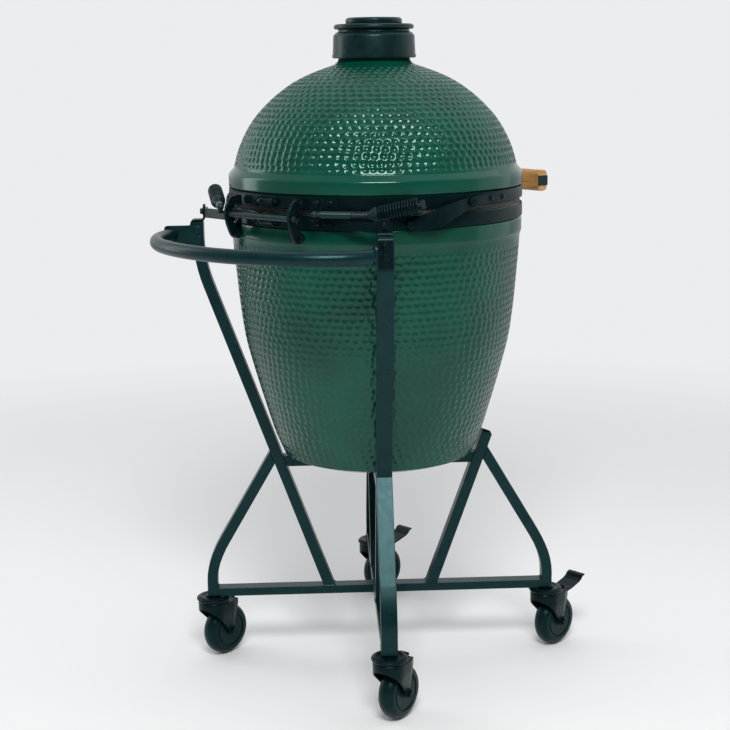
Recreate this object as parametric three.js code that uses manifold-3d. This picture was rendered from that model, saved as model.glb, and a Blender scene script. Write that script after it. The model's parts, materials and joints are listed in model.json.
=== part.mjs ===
// Kamado ceramic grill on a wheeled stand.  Millimetres, +Z up.
// +Y is the hinge side, -Y is the side with the lid handle, the thermometer and the
// draft door.  Everything is drawn about the axis of the egg, and the finished group is
// then moved so that its origin is on the floor under the middle of the whole object.
import * as THREE from 'three';
import Module from 'manifold-3d';
import * as BufferGeometryUtils from 'three/addons/utils/BufferGeometryUtils.js';

const wasm = await Module();
wasm.setup();
const { Manifold, Mesh: ManifoldMesh } = wasm;

// ---------------------------------------------------------------- driving sizes
const RIM_R = 272.5;          // outer radius of the lid rim and of both bands
const SEAM_Z = 897.7;         // plane where the two gaskets meet
const BASE_FOOT_Z = 408;      // underside of the ceramic base
const NECK_TOP_Z = 1190;      // top of the ceramic neck inside the cap
const WALL = 22;              // ceramic wall
const GAP = 0.3;              // clearance left between pieces that touch
const BAND_H = 21;            // height of each steel band
const BAND_T = 3.6;           // thickness of each steel band
const BAND_GAP = 5.8;         // distance from the seam to each band
const TUBE_W = 29;            // leg tube, across
const TUBE_D = 20;            // leg tube, in the plane of the leg
const TUBE_WALL = 2;
const LEG_T = 328;            // distance of each caster axis from the egg axis
const LEG_ANGLES = { rear_left: 135, rear_right: 45, front_right: 315, front_left: 225 };
const BAR_LOW_Z = [128, 144];
const BAR_TOP_Z = [387.7, 407.7];
const WHEEL_R = 50;
const WHEEL_W = 32;
const TRAIL = 28;             // distance of the wheel axle behind the swivel axis
const HINGE_Y = 281;          // axis of the lid hinge
const HINGE_Z = 856;
const HINGE_X = 79;           // middle of each hinge plate from the centre
const SEG = 40;

// ---------------------------------------------------------------- colours
const paint = (name, hex, rough, metal) =>
  new THREE.MeshStandardMaterial({ name, color: hex, roughness: rough, metalness: metal });
const GLAZE = paint('glaze', 0x0b5a3c, 0.15, 0);
const FRAME = paint('frame_paint', 0x14302f, 0.45, 0.3);
const DARK = paint('dark_steel', 0x1b1f20, 0.45, 0.5);
const IRON = paint('cast_iron', 0x1a2421, 0.6, 0.4);
const WOOD = paint('wood', 0xc08030, 0.6, 0);
const STEEL = paint('steel', 0xa9adae, 0.3, 0.9);
const FELT = paint('felt', 0x2b2b2b, 0.95, 0);
const CLAY = paint('fired_clay', 0xb9a184, 0.9, 0);
const RUBBER = paint('wheel_rubber', 0x141617, 0.8, 0);

// ---------------------------------------------------------------- solids
function solid(geometry) {
  const g = geometry.clone();
  g.deleteAttribute('normal');
  if (g.getAttribute('uv')) {
    g.deleteAttribute('uv');
  }
  const welded = BufferGeometryUtils.mergeVertices(g, 1e-5);
  const mesh = new ManifoldMesh({
    numProp: 3,
    vertProperties: new Float32Array(welded.getAttribute('position').array),
    triVerts: new Uint32Array(welded.getIndex().array),
  });
  mesh.merge();
  return new Manifold(mesh);
}

function toGeometry(body) {
  const mesh = body.getMesh();
  const g = new THREE.BufferGeometry();
  g.setAttribute('position', new THREE.BufferAttribute(Float32Array.from(mesh.vertProperties), 3));
  g.setIndex(new THREE.BufferAttribute(Uint32Array.from(mesh.triVerts), 1));
  g.computeVertexNormals();
  return g;
}

const rad = (deg) => (deg * Math.PI) / 180;
const move = (g, x, y, z) => g.clone().translate(x, y, z);

// revolve a closed outline [[r, z], ...] about +Z
function lathe(outline, segments = SEG) {
  const pts = outline.map(([r, z]) => new THREE.Vector2(r, z));
  pts.push(pts[0].clone());
  const g = new THREE.LatheGeometry(pts, segments);
  g.rotateX(Math.PI / 2);
  return orient(g);
}

// turn a body inside out when its signed volume is negative
function orient(g) {
  const welded = BufferGeometryUtils.mergeVertices(stripped(g), 1e-5);
  const p = welded.getAttribute('position');
  const idx = welded.getIndex().array;
  let volume = 0;
  const a = new THREE.Vector3();
  const b = new THREE.Vector3();
  const c = new THREE.Vector3();
  const kept = [];
  for (let i = 0; i < idx.length; i += 3) {
    if (idx[i] === idx[i + 1] || idx[i + 1] === idx[i + 2] || idx[i] === idx[i + 2]) {
      continue;
    }
    a.fromBufferAttribute(p, idx[i]);
    b.fromBufferAttribute(p, idx[i + 1]);
    c.fromBufferAttribute(p, idx[i + 2]);
    volume += a.dot(b.clone().cross(c));
    kept.push(idx[i], idx[i + 1], idx[i + 2]);
  }
  if (volume < 0) {
    kept.reverse();
  }
  welded.setIndex(kept);
  return welded;
}

function stripped(g) {
  const s = g.clone();
  for (const name of Object.keys(s.attributes)) {
    if (name !== 'position') {
      s.deleteAttribute(name);
    }
  }
  return s;
}

// rectangle revolved about +Z
const ring = (rIn, rOut, z0, z1, segments = SEG) =>
  lathe([[rIn, z0], [rOut, z0], [rOut, z1], [rIn, z1]], segments);

const disc = (r, z0, z1, segments = SEG) => lathe([[0, z0], [r, z0], [r, z1], [0, z1]], segments);

function box(x0, x1, y0, y1, z0, z1) {
  const g = new THREE.BoxGeometry(x1 - x0, y1 - y0, z1 - z0);
  g.translate((x0 + x1) / 2, (y0 + y1) / 2, (z0 + z1) / 2);
  return g;
}

// round bar between two points
function rod(from, to, r, segments = 8) {
  const a = new THREE.Vector3(...from);
  const b = new THREE.Vector3(...to);
  const g = new THREE.CylinderGeometry(r, r, a.distanceTo(b), segments);
  const q = new THREE.Quaternion();
  q.setFromUnitVectors(new THREE.Vector3(0, 1, 0), b.clone().sub(a).normalize());
  g.applyQuaternion(q);
  g.translate((a.x + b.x) / 2, (a.y + b.y) / 2, (a.z + b.z) / 2);
  return g;
}

// plate drawn as an outline in the (x, z) plane, centred on y = 0 with the given width
function plateXZ(outline, width, hole = null) {
  const shape = new THREE.Shape(outline.map(([x, z]) => new THREE.Vector2(x, z)));
  if (hole) {
    shape.holes.push(new THREE.Path(hole.map(([x, z]) => new THREE.Vector2(x, z))));
  }
  const g = new THREE.ExtrudeGeometry(shape, { depth: width, bevelEnabled: false });
  g.rotateX(Math.PI / 2);
  g.translate(0, width / 2, 0);
  return orient(g);
}

// plate drawn as an outline in the (x, y) plane, from z0 to z1
function plateXY(outline, z0, z1) {
  const shape = new THREE.Shape(outline.map(([x, y]) => new THREE.Vector2(x, y)));
  const g = new THREE.ExtrudeGeometry(shape, { depth: z1 - z0, bevelEnabled: false });
  g.translate(0, 0, z0);
  return orient(g);
}

// outline of a strip of the given depth along a flat path
function strip(path, depth, extend = 0) {
  const pts = path.map(([x, z]) => new THREE.Vector2(x, z));
  const first = pts[0].clone().sub(pts[1]).normalize().multiplyScalar(extend);
  const n = pts.length;
  const last = pts[n - 1].clone().sub(pts[n - 2]).normalize().multiplyScalar(extend);
  pts[0].add(first);
  pts[n - 1].add(last);
  const left = [];
  const right = [];
  for (let i = 0; i < n; i += 1) {
    const before = pts[Math.max(i - 1, 0)];
    const after = pts[Math.min(i + 1, n - 1)];
    const inDir = (i > 0 ? pts[i].clone().sub(before) : after.clone().sub(pts[i])).normalize();
    const outDir = (i < n - 1 ? after.clone().sub(pts[i]) : pts[i].clone().sub(before)).normalize();
    const mid = inDir.clone().add(outDir).normalize();
    const reach = depth / 2 / Math.max(mid.dot(inDir), 0.3);
    const normal = new THREE.Vector2(-mid.y, mid.x).multiplyScalar(reach);
    left.push([pts[i].x + normal.x, pts[i].y + normal.y]);
    right.push([pts[i].x - normal.x, pts[i].y - normal.y]);
  }
  return left.concat(right.reverse());
}

// hollow rectangular tube along a flat path in (x, z)
function flatTube(path, width, depth, wall) {
  const outer = solid(plateXZ(strip(path, depth), width));
  const inner = solid(plateXZ(strip(path, depth - 2 * wall, 5), width - 2 * wall));
  return outer.subtract(inner);
}

const solidTube = (path, width, depth) => solid(plateXZ(strip(path, depth, 1), width));

// bend a corner: points of a quadratic curve between p0 and p2
function bend(p0, p1, p2, steps = 6) {
  const out = [];
  for (let i = 0; i <= steps; i += 1) {
    const t = i / steps;
    const s = 1 - t;
    out.push([
      s * s * p0[0] + 2 * s * t * p1[0] + t * t * p2[0],
      s * s * p0[1] + 2 * s * t * p1[1] + t * t * p2[1],
    ]);
  }
  return out;
}

const turned = (g, deg) => g.clone().rotateZ(rad(deg));
const mirrorX = (g) => orient(g.clone().scale(-1, 1, 1));

// hexagon head on the end of a bolt, axis along the given direction
function boltHead(at, direction, r = 6, h = 5) {
  const d = new THREE.Vector3(...direction).normalize().multiplyScalar(h);
  const to = [at[0] + d.x, at[1] + d.y, at[2] + d.z];
  return rod(at, to, r, 6);
}

const group = new THREE.Group();
group.name = 'kamado_ceramic_grill';

function add(name, geometry, material) {
  const g = geometry.clone();
  g.computeVertexNormals();
  const mesh = new THREE.Mesh(g, material);
  mesh.name = name;
  group.add(mesh);
}

const addSolid = (name, body, material) => add(name, toGeometry(body), material);

// ---------------------------------------------------------------- ceramic shells
const BASE_TOP_Z = SEAM_Z - 4.2;
const LID_FOOT_Z = SEAM_Z + 4.3;
const BAND_SEAT_R = RIM_R - BAND_T - 0.5;

// outside of the base from its foot to its rim
const baseOuter = [
  [0, BASE_FOOT_Z], [150, BASE_FOOT_Z], [182, 420.5], [206, 483], [220, 531], [232.5, 577], [244.5, 622],
  [254, 672], [262, 752], [266.8, 832], [RIM_R - 2, 839], [RIM_R - 2, 866.5], [BAND_SEAT_R, 868.5],
  [BAND_SEAT_R, BASE_TOP_Z],
];
const baseInner = [
  [BAND_SEAT_R - WALL, BASE_TOP_Z], [240, 752], [229, 661], [206, 567], [176, 470], [150, 433], [0, 433],
];
let base = solid(lathe(baseOuter.concat(baseInner)));

// draft opening through the front of the base
const DRAFT_Z = [462, 518];
const DRAFT_W = 96;
base = base.subtract(solid(box(-DRAFT_W / 2, DRAFT_W / 2, -260, -120, DRAFT_Z[0], DRAFT_Z[1])));
addSolid('base', base, GLAZE);

// outside of the lid from its rim to the neck
const lidOuter = [
  [BAND_SEAT_R, LID_FOOT_Z], [BAND_SEAT_R, 925.5], [RIM_R, 927.5], [RIM_R, 949], [262.3, 961.5],
  [256, 983], [245, 1012], [231, 1038.5], [212, 1062.5], [186, 1087], [153, 1111], [118, 1128.5],
  [75, 1144.5], [69.8, 1150], [65.5, 1156], [65.5, NECK_TOP_Z],
];
const lidInner = [
  [49, NECK_TOP_Z], [50, 1134], [110, 1108], [164, 1076], [204, 1035], [231, 983],
  [BAND_SEAT_R - WALL, LID_FOOT_Z],
];
let lid = solid(lathe(lidOuter.concat(lidInner)));

// the thermometer sits square to the dome at the front
const THERMO_TILT = rad(29);
const THERMO_AT = [0, -240, 1022];
const thermoDir = [0, -Math.cos(THERMO_TILT), Math.sin(THERMO_TILT)];
const along = (at, dir, d) => [at[0] + dir[0] * d, at[1] + dir[1] * d, at[2] + dir[2] * d];
const thermoPoint = (d) => along(THERMO_AT, thermoDir, d);
const thermoRod = (d0, d1, r, seg) => rod(thermoPoint(d0), thermoPoint(d1), r, seg);
lid = lid.subtract(solid(thermoRod(-60, 30, 8, 20)));
addSolid('lid', lid, GLAZE);

let thermometer = solid(thermoRod(9, 14, 36, 28));
thermometer = thermometer.add(solid(thermoRod(13, 24, 38, 28)));
thermometer = thermometer.subtract(solid(thermoRod(21, 30, 34, 28)));
thermometer = thermometer.add(solid(thermoRod(-62, 10, 4, 8)));
thermometer = thermometer.add(solid(thermoRod(20, 23, 3, 8)));
addSolid('thermometer', thermometer, STEEL);

// ---------------------------------------------------------------- gaskets and bands
const gasketIn = BAND_SEAT_R - WALL + 1;
const gasketOut = BAND_SEAT_R - 0.5;
add('gasket_lower', ring(gasketIn, gasketOut, BASE_TOP_Z + GAP, SEAM_Z - 0.1), FELT);
add('gasket_upper', ring(gasketIn, gasketOut, SEAM_Z + 0.2, LID_FOOT_Z - GAP), FELT);

const UPPER_BAND_Z = [SEAM_Z + BAND_GAP, SEAM_Z + BAND_GAP + BAND_H];
const LOWER_BAND_Z = [SEAM_Z - BAND_GAP - BAND_H - 1.5, SEAM_Z - BAND_GAP];
const BAND_IN = RIM_R - BAND_T;

// the band closes at one side with two lugs and a clamp bolt
function clampBand(z0, z1, deg) {
  const zm = (z0 + z1) / 2;
  let body = solid(ring(BAND_IN, RIM_R, z0, z1));
  for (const side of [-1, 1]) {
    const lug = box(RIM_R - 1.5, RIM_R + 16, side * 5 - 1.6, side * 5 + 1.6, z0 + 1, z1 - 1);
    body = body.add(solid(turned(lug, deg)));
  }
  const screw = rod([RIM_R + 9, -13, zm], [RIM_R + 9, 13, zm], 3, 10);
  const head = rod([RIM_R + 9, -13, zm], [RIM_R + 9, -6.5, zm], 5.5, 6);
  body = body.add(solid(turned(screw, deg)));
  return body.add(solid(turned(head, deg)));
}
addSolid('upper_band', clampBand(UPPER_BAND_Z[0], UPPER_BAND_Z[1], 270), DARK);
addSolid('lower_band', clampBand(LOWER_BAND_Z[0], LOWER_BAND_Z[1], 270), DARK);

// ---------------------------------------------------------------- inside the egg
let fireBox = solid(lathe([
  [0, 437], [134, 437], [155, 455], [177, 500], [200, 585], [217, 650],
  [195, 650], [178, 585], [156, 505], [132, 470], [0, 466],
], 36));
fireBox = fireBox.subtract(solid(disc(62, 430, 480, 32)));
fireBox = fireBox.subtract(solid(box(-44, 44, -240, -100, 470.5, 512)));
addSolid('fire_box', fireBox, CLAY);

const fireRing = lathe([
  [195, 650 + GAP], [217, 650 + GAP], [231, 720], [234, 792], [212, 792], [209, 720],
], 36);
add('fire_ring', fireRing, CLAY);

// cast grate over the air hole in the bottom of the fire box
let fireGrate = solid(disc(88, 470.4, 478, 32));
for (let i = 0; i < 8; i += 1) {
  const slot = box(24, 74, -5, 5, 460, 490);
  fireGrate = fireGrate.subtract(solid(turned(slot, i * 45)));
}
fireGrate = fireGrate.subtract(solid(disc(10, 460, 480, 10)));
addSolid('fire_grate', fireGrate, IRON);

// round cooking grid: a rim, two cross bars and parallel rods
const GRID_Z = 792 + GAP;
const GRID_R = 229;
let grid = solid(ring(GRID_R - 7, GRID_R, GRID_Z, GRID_Z + 7, 36));
const GRID_RODS = 11;
for (let i = 0; i < GRID_RODS; i += 1) {
  const x = (i - (GRID_RODS - 1) / 2) * 37;
  const half = Math.sqrt((GRID_R - 3) ** 2 - x * x);
  grid = grid.add(solid(box(x - 2.5, x + 2.5, -half, half, GRID_Z + 1.5, GRID_Z + 6.5)));
}
for (const y of [-90, 90]) {
  const half = Math.sqrt((GRID_R - 3) ** 2 - y * y);
  grid = grid.add(solid(box(-half, half, y - 3, y + 3, GRID_Z, GRID_Z + 6)));
}
addSolid('cooking_grid', grid, STEEL);

// ---------------------------------------------------------------- chimney cap
const CAP_Z = { foot: 1155.3, rim: 1196, top: 1202, plate: 1207.2, dial: 1216.6, end: 1228.5 };
let collar = solid(lathe([
  [66.8, CAP_Z.foot + 2], [76.3, CAP_Z.foot], [74.4, CAP_Z.rim], [69, CAP_Z.top], [65.5, CAP_Z.top],
  [65.5, CAP_Z.plate - GAP], [50, CAP_Z.plate - GAP], [50, NECK_TOP_Z + 4], [66.8, NECK_TOP_Z + 4],
], 28));
const CAP_PIVOT = [58, 0];
collar = collar.add(solid(rod([...CAP_PIVOT, 1200], [...CAP_PIVOT, 1215], 3, 8)));
addSolid('cap_collar', collar, IRON);

let capLid = solid(lathe([
  [0, CAP_Z.plate], [70, CAP_Z.plate], [73.3, CAP_Z.plate + 2.5], [73.3, CAP_Z.plate + 6],
  [70, CAP_Z.plate + 9], [0, CAP_Z.plate + 9],
], 28));
capLid = capLid.subtract(solid(rod([...CAP_PIVOT, 1190], [...CAP_PIVOT, 1230], 3.5, 10)));
const VENTS = 5;
for (let i = 0; i < VENTS; i += 1) {
  const vent = turned(rod([27, 0, 1190], [27, 0, 1240], 9, 10), (i * 360) / VENTS);
  capLid = capLid.subtract(solid(vent));
}
addSolid('cap_lid', capLid, IRON);

let dial = solid(lathe([
  [0, CAP_Z.dial], [50.5, CAP_Z.dial], [51.8, CAP_Z.dial + 2], [51.8, CAP_Z.end - 4],
  [48, CAP_Z.end - 0.6], [40, CAP_Z.end - 2.5], [8, CAP_Z.end - 2.5], [6, CAP_Z.end], [0, CAP_Z.end],
], 28));
for (let i = 0; i < VENTS; i += 1) {
  const vent = turned(rod([27, 0, 1190], [27, 0, 1240], 9, 10), ((i + 0.5) * 360) / VENTS);
  dial = dial.subtract(solid(vent));
}
addSolid('cap_dial', dial, IRON);

// ---------------------------------------------------------------- draft door
// built upright at y = 0 facing -Y, then leaned back against the slope of the base
const DRAFT_LEAN = rad(16.2);
const DRAFT_AT = [0, -211.5, 490];
function leaned(g) {
  const out = g.clone();
  out.rotateX(DRAFT_LEAN);
  out.translate(...DRAFT_AT);
  return out;
}
let draftFrame = solid(box(-70, 70, -2, 0, -44, 44));
draftFrame = draftFrame.subtract(solid(box(-48, 48, -4, 4, -28, 28)));
for (const z of [-1, 1]) {
  draftFrame = draftFrame.add(solid(box(-70, 70, -8, 0, z * 39 - 2, z * 39 + 2)));
  const lip = z > 0 ? [33, 41] : [-41, -33];
  draftFrame = draftFrame.add(solid(box(-70, 70, -9.5, -7.5, lip[0], lip[1])));
}
addSolid('draft_frame', solid(leaned(toGeometry(draftFrame))), STEEL);
let draftDoor = solid(box(-56, 56, -7.2, -5.2, -36, 36));
draftDoor = draftDoor.add(solid(box(-50, -46, -19, -7, -14, 14)));
addSolid('draft_door', solid(leaned(toGeometry(draftDoor))), STEEL);

// perforated spark screen: a second slide behind the door
let draftScreen = solid(box(-56, 56, -4.6, -2.6, -36, 36));
for (const x of [-36, -18, 0, 18, 36]) {
  for (const z of [-14, 14]) {
    draftScreen = draftScreen.subtract(solid(rod([x, -12, z], [x, 0, z], 4, 6)));
  }
}
addSolid('draft_screen', solid(leaned(toGeometry(draftScreen))), STEEL);

// ---------------------------------------------------------------- lid handle
const HANDLE_Z = 916.5;
const HANDLE_HALF = 141;      // half length of the wooden bar
const HANDLE_TALL = 41;
const HANDLE_DEEP = 25;
const handleArc = [];
const HANDLE_STEPS = 10;
for (let i = 0; i <= HANDLE_STEPS; i += 1) {
  const x = HANDLE_HALF * (-1 + (2 * i) / HANDLE_STEPS);
  handleArc.push([x, -347 + 14 * (x / HANDLE_HALF) ** 2]);
}
const handleOutline = strip(handleArc, HANDLE_DEEP);
let woodBar = solid(plateXY(handleOutline, HANDLE_Z - HANDLE_TALL / 2, HANDLE_Z + HANDLE_TALL / 2));
const handleCore = strip(handleArc, 4.6, 2);
woodBar = woodBar.subtract(solid(plateXY(handleCore, HANDLE_Z - 9.8, HANDLE_Z + 9.8)));
for (const x of [-80, 80]) {
  woodBar = woodBar.subtract(solid(rod([x, -342, HANDLE_Z], [x, -320, HANDLE_Z], 6.4, 10)));
}
addSolid('lid_handle', woodBar, WOOD);

let handleBracket = solid(plateXY(strip(handleArc, 4), HANDLE_Z - 9.5, HANDLE_Z + 9.5));
for (const x of [-80, 80]) {
  const seat = -Math.sqrt(RIM_R ** 2 - x * x);
  handleBracket = handleBracket.add(solid(rod([x, -343, HANDLE_Z], [x, seat - 3, HANDLE_Z], 6, 10)));
  const deg = (Math.atan2(seat, x) * 180) / Math.PI;
  const pad = box(RIM_R + GAP + 0.3, RIM_R + 6, -17, 17, HANDLE_Z - 9.5, HANDLE_Z + 7);
  handleBracket = handleBracket.add(solid(turned(pad, deg)));
}
addSolid('lid_handle_bracket', handleBracket, DARK);

// ---------------------------------------------------------------- hinge
const midUpper = (UPPER_BAND_Z[0] + UPPER_BAND_Z[1]) / 2;
const midLower = (LOWER_BAND_Z[0] + LOWER_BAND_Z[1]) / 2;

// curved plate lying on a band between two angles
function bandPlate(r0, r1, z0, z1, deg0, deg1) {
  const outline = [];
  const steps = 8;
  for (let i = 0; i <= steps; i += 1) {
    const a = rad(deg0 + ((deg1 - deg0) * i) / steps);
    outline.push([r1 * Math.cos(a), r1 * Math.sin(a)]);
  }
  for (let i = steps; i >= 0; i -= 1) {
    const a = rad(deg0 + ((deg1 - deg0) * i) / steps);
    outline.push([r0 * Math.cos(a), r0 * Math.sin(a)]);
  }
  return solid(plateXY(outline, z0, z1));
}

function radialBolts(body, r, list, head = 5.5, tall = 4.5) {
  let out = body;
  for (const [deg, z] of list) {
    const a = rad(deg);
    const d = [Math.cos(a), Math.sin(a), 0];
    out = out.add(solid(boltHead([r * d[0], r * d[1], z], d, head, tall)));
  }
  return out;
}

const PLATE_R = [RIM_R + 0.6, RIM_R + 5];

// barrel between two lugs, which draws the band tight behind the egg
function clampBarrel(z) {
  const y = PLATE_R[1] + 4.6;
  let out = solid(rod([-21, y, z], [21, y, z], 3.4, 10));
  out = out.add(solid(rod([-15, y, z], [15, y, z], 5.6, 12)));
  for (const x of [-17, 17]) {
    out = out.add(solid(box(x - 1.6, x + 1.6, 275.5, y + 4.2, z - 5.5, z + 5.5)));
  }
  return out;
}

let hingeLower = bandPlate(PLATE_R[0], PLATE_R[1], LOWER_BAND_Z[0] + 1, LOWER_BAND_Z[1] - 0.5, 61, 119);
hingeLower = radialBolts(hingeLower, PLATE_R[1] - 1, [[68.8, midLower], [111.2, midLower]]);
hingeLower = hingeLower.add(clampBarrel(midLower));
// ears that carry the lower hinge bolts, one on the inner side of each hinge plate
const EAR_OUT = HINGE_X - 3 - GAP - 0.2;
const ear = plateXZ([
  [262, 889], [276, 889], [292, 866], [292, 850], [283, 844], [273.5, 850], [273.5, 871],
], 4);
for (const side of [-1, 1]) {
  const g = ear.clone();
  g.rotateZ(Math.PI / 2);
  g.translate(side * (EAR_OUT - 2), 0, 0);
  hingeLower = hingeLower.add(solid(orient(g)).subtract(solid(disc(RIM_R + 0.6, 800, 960))));
}
for (const side of [-1, 1]) {
  const pin = rod([side * (EAR_OUT - 8), HINGE_Y, HINGE_Z], [side * (HINGE_X + 6), HINGE_Y, HINGE_Z], 3.5, 8);
  const headFrom = side * (HINGE_X + 3.8);
  const head = rod([headFrom, HINGE_Y, HINGE_Z], [headFrom + side * 5.2, HINGE_Y, HINGE_Z], 7, 6);
  hingeLower = hingeLower.add(solid(pin));
  hingeLower = hingeLower.add(solid(head));
}
// lugs and studs that carry the balls at the inner ends of the two springs
for (const side of [-1, 1]) {
  const lug = [[side * 100, 250], [side * 124, 239], [side * 127, 290], [side * 109, 290]];
  hingeLower = hingeLower.add(solid(plateXY(lug, 887.3, 890.2)).subtract(solid(disc(RIM_R + 0.6, 800, 960))));
  hingeLower = hingeLower.add(solid(rod([side * 118, 282, 888], [side * 118, 282, 891.2], 3.6, 10)));
}
addSolid('hinge_lower_bracket', hingeLower, DARK);

let hingeUpper = bandPlate(PLATE_R[0], PLATE_R[1], UPPER_BAND_Z[0] + 0.5, UPPER_BAND_Z[1] - 1, 61, 119);
hingeUpper = radialBolts(hingeUpper, PLATE_R[1] - 1, [
  [63.6, midUpper], [68.8, midUpper], [111.2, midUpper], [116.4, midUpper],
]);
hingeUpper = hingeUpper.add(clampBarrel(midUpper));
for (const side of [-1, 1]) {
  const tabX = side > 0 ? [EAR_OUT - 4, EAR_OUT] : [-EAR_OUT, 4 - EAR_OUT];
  const tab = box(...tabX, 262, 286, UPPER_BAND_Z[0] + 0.5, 922);
  hingeUpper = hingeUpper.add(solid(tab).subtract(solid(disc(RIM_R + 0.6, 800, 960))));
  const head = rod([side * (EAR_OUT - 1), 279, 913], [side * (HINGE_X + 9), 279, 913], 3, 10);
  hingeUpper = hingeUpper.add(solid(head));
  const nut = rod([side * (HINGE_X + 3.6), 279, 913], [side * (HINGE_X + 9), 279, 913], 6.5, 6);
  hingeUpper = hingeUpper.add(solid(nut));
}
addSolid('hinge_upper_bracket', hingeUpper, DARK);

// C-shaped side plates
const cOutline = [
  [272, 916], [277, 923], [289, 921], [298, 914], [305, 903], [307, 888], [304, 873], [298, 858],
  [293, 849], [285, 845], [276, 848], [273, 856], [277, 864], [288, 874], [292, 886], [290, 898],
  [283, 905], [273, 908],
];
for (const [name, side] of [['hinge_plate_right', 1], ['hinge_plate_left', -1]]) {
  const g = plateXZ(cOutline, 6);
  g.rotateZ(Math.PI / 2);
  let body = solid(orient(g));
  const x = side * HINGE_X;
  body = body.translate([x, 0, 0]);
  body = body.subtract(solid(rod([x - 20, HINGE_Y, HINGE_Z], [x + 20, HINGE_Y, HINGE_Z], 3.9, 10)));
  body = body.subtract(solid(rod([x - 20, 279, 913], [x + 20, 279, 913], 3.4, 10)));
  body = body.subtract(solid(rod([x - 20, 298, 889], [x + 20, 298, 889], 4.4, 10)));
  addSolid(name, body, DARK);
}
let crossTube = solid(rod([-HINGE_X - 7, 298, 889], [HINGE_X + 7, 298, 889], 4, 10));
crossTube = crossTube.add(solid(rod([-HINGE_X + 3.4, 298, 889], [HINGE_X - 3.4, 298, 889], 5.2, 10)));
addSolid('hinge_cross_tube', crossTube, DARK);

// ---------------------------------------------------------------- springs and side arms
// right-hand (+X) copies are made, the left-hand ones are mirrored
const SPRING_IN = [118, 282, 898];      // pivot of the spring on the base bracket
const SPRING_KNEE = [190, 222, 896];    // bend of the rod at the seat of the coil
const SPRING_OUT = [264, 166, 915];     // end of the rod, beside the side arm
const distance = (a, b) => new THREE.Vector3(...a).distanceTo(new THREE.Vector3(...b));
const ROD_L = distance(SPRING_IN, SPRING_KNEE);
const COIL_L = distance(SPRING_KNEE, SPRING_OUT);

// carry a body drawn along +Z from the origin onto the line between two points
function placedAlong(g, from, to) {
  const dir = new THREE.Vector3(...to).sub(new THREE.Vector3(...from)).normalize();
  const q = new THREE.Quaternion().setFromUnitVectors(new THREE.Vector3(0, 0, 1), dir);
  return g.clone().applyQuaternion(q).translate(...from);
}
const onRod = (g) => placedAlong(g, SPRING_IN, SPRING_KNEE);
const onCoil = (g) => placedAlong(g, SPRING_KNEE, SPRING_OUT);

const COILS = 7;
const COIL_Z = [13.5, 87];
const COIL_R = [5.4, 14];
const COIL_PITCH = (COIL_Z[1] - COIL_Z[0]) / COILS;
const coilOutline = [[COIL_R[0], COIL_Z[0]]];
for (let i = 0; i < COILS; i += 1) {
  coilOutline.push([COIL_R[1] - 2.4, COIL_Z[0] + i * COIL_PITCH]);
  coilOutline.push([COIL_R[1], COIL_Z[0] + (i + 0.5) * COIL_PITCH]);
}
coilOutline.push([COIL_R[1] - 2.4, COIL_Z[1]]);
coilOutline.push([COIL_R[0], COIL_Z[1]]);
const spring = onCoil(lathe(coilOutline, 8));
add('spring_right', spring, DARK);
add('spring_left', mirrorX(spring), DARK);

let springRod = solid(onRod(disc(4.6, 0, ROD_L, 8)));
springRod = springRod.add(solid(onRod(disc(6.4, 9, 62, 8))));
springRod = springRod.add(solid(onCoil(disc(4.6, 0, COIL_L - 1, 8))));
const seat = lathe([[0, -4], [5.5, -4], [12.6, 8], [12.6, 13.2], [0, 13.2]], 12);
springRod = springRod.add(solid(onCoil(seat)));
springRod = springRod.add(solid(onCoil(disc(9, 87.3, 94, 8))));
// ball at the inner end, which turns on the stud of the lower bracket
const BALL_R = 6.4;
springRod = springRod.add(solid(new THREE.SphereGeometry(BALL_R, 16, 10).translate(...SPRING_IN)));
addSolid('spring_rod_right', springRod, DARK);
addSolid('spring_rod_left', solid(mirrorX(toGeometry(springRod))), DARK);

// flat bar standing on edge between two points
function flatBar(from, to, tall, thick) {
  const a = new THREE.Vector3(...from);
  const b = new THREE.Vector3(...to);
  const x = b.clone().sub(a).normalize();
  const y = new THREE.Vector3(0, 0, 1).cross(x).normalize();
  const z = x.clone().cross(y);
  const g = new THREE.BoxGeometry(a.distanceTo(b), thick, tall);
  g.applyMatrix4(new THREE.Matrix4().makeBasis(x, y, z));
  g.translate((a.x + b.x) / 2, (a.y + b.y) / 2, (a.z + b.z) / 2);
  return g;
}

const ARM_LOW = [243, 181, 880];
const ARM_HIGH = [272.4, 50, 912];
let arm = solid(flatBar(ARM_LOW, ARM_HIGH, 17, 4));
arm = arm.add(bandPlate(PLATE_R[0], PLATE_R[1], UPPER_BAND_Z[0] + 1, UPPER_BAND_Z[1] - 1, -10, 12));
arm = radialBolts(arm, PLATE_R[1] - 1, [[-6, midUpper], [1, midUpper]]);
arm = radialBolts(arm, Math.hypot(ARM_HIGH[0], ARM_HIGH[1]) + 1, [[11.5, 911]], 7.5, 6);
arm = radialBolts(arm, Math.hypot(ARM_LOW[0], ARM_LOW[1]) + 1, [[36.2, 881]], 7.5, 6);
arm = arm.add(solid(flatBar([249.5, 147, 893], [253.5, 132, 893], 28, 4)));
arm = arm.subtract(solid(disc(RIM_R + 0.6, 800, 960)));
addSolid('spring_arm_right', arm, DARK);
addSolid('spring_arm_left', solid(mirrorX(toGeometry(arm))), DARK);

// ---------------------------------------------------------------- stand
const LEG_SLOPE = 0.36;       // outward lean of the inner legs, mm per mm of height
const LEG_FOOT_T = 100.5;     // distance from the axis where they meet the lower bars
const TOP_T = 332;            // distance of the upright tops from the axis
const TOP_Z = 861;
const tAt = (z) => LEG_FOOT_T + (z - BAR_LOW_Z[1]) * LEG_SLOPE;
const zAt = (t) => BAR_LOW_Z[1] + (t - LEG_FOOT_T) / LEG_SLOPE;
const BRACE_TOP_Z = 446;

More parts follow.
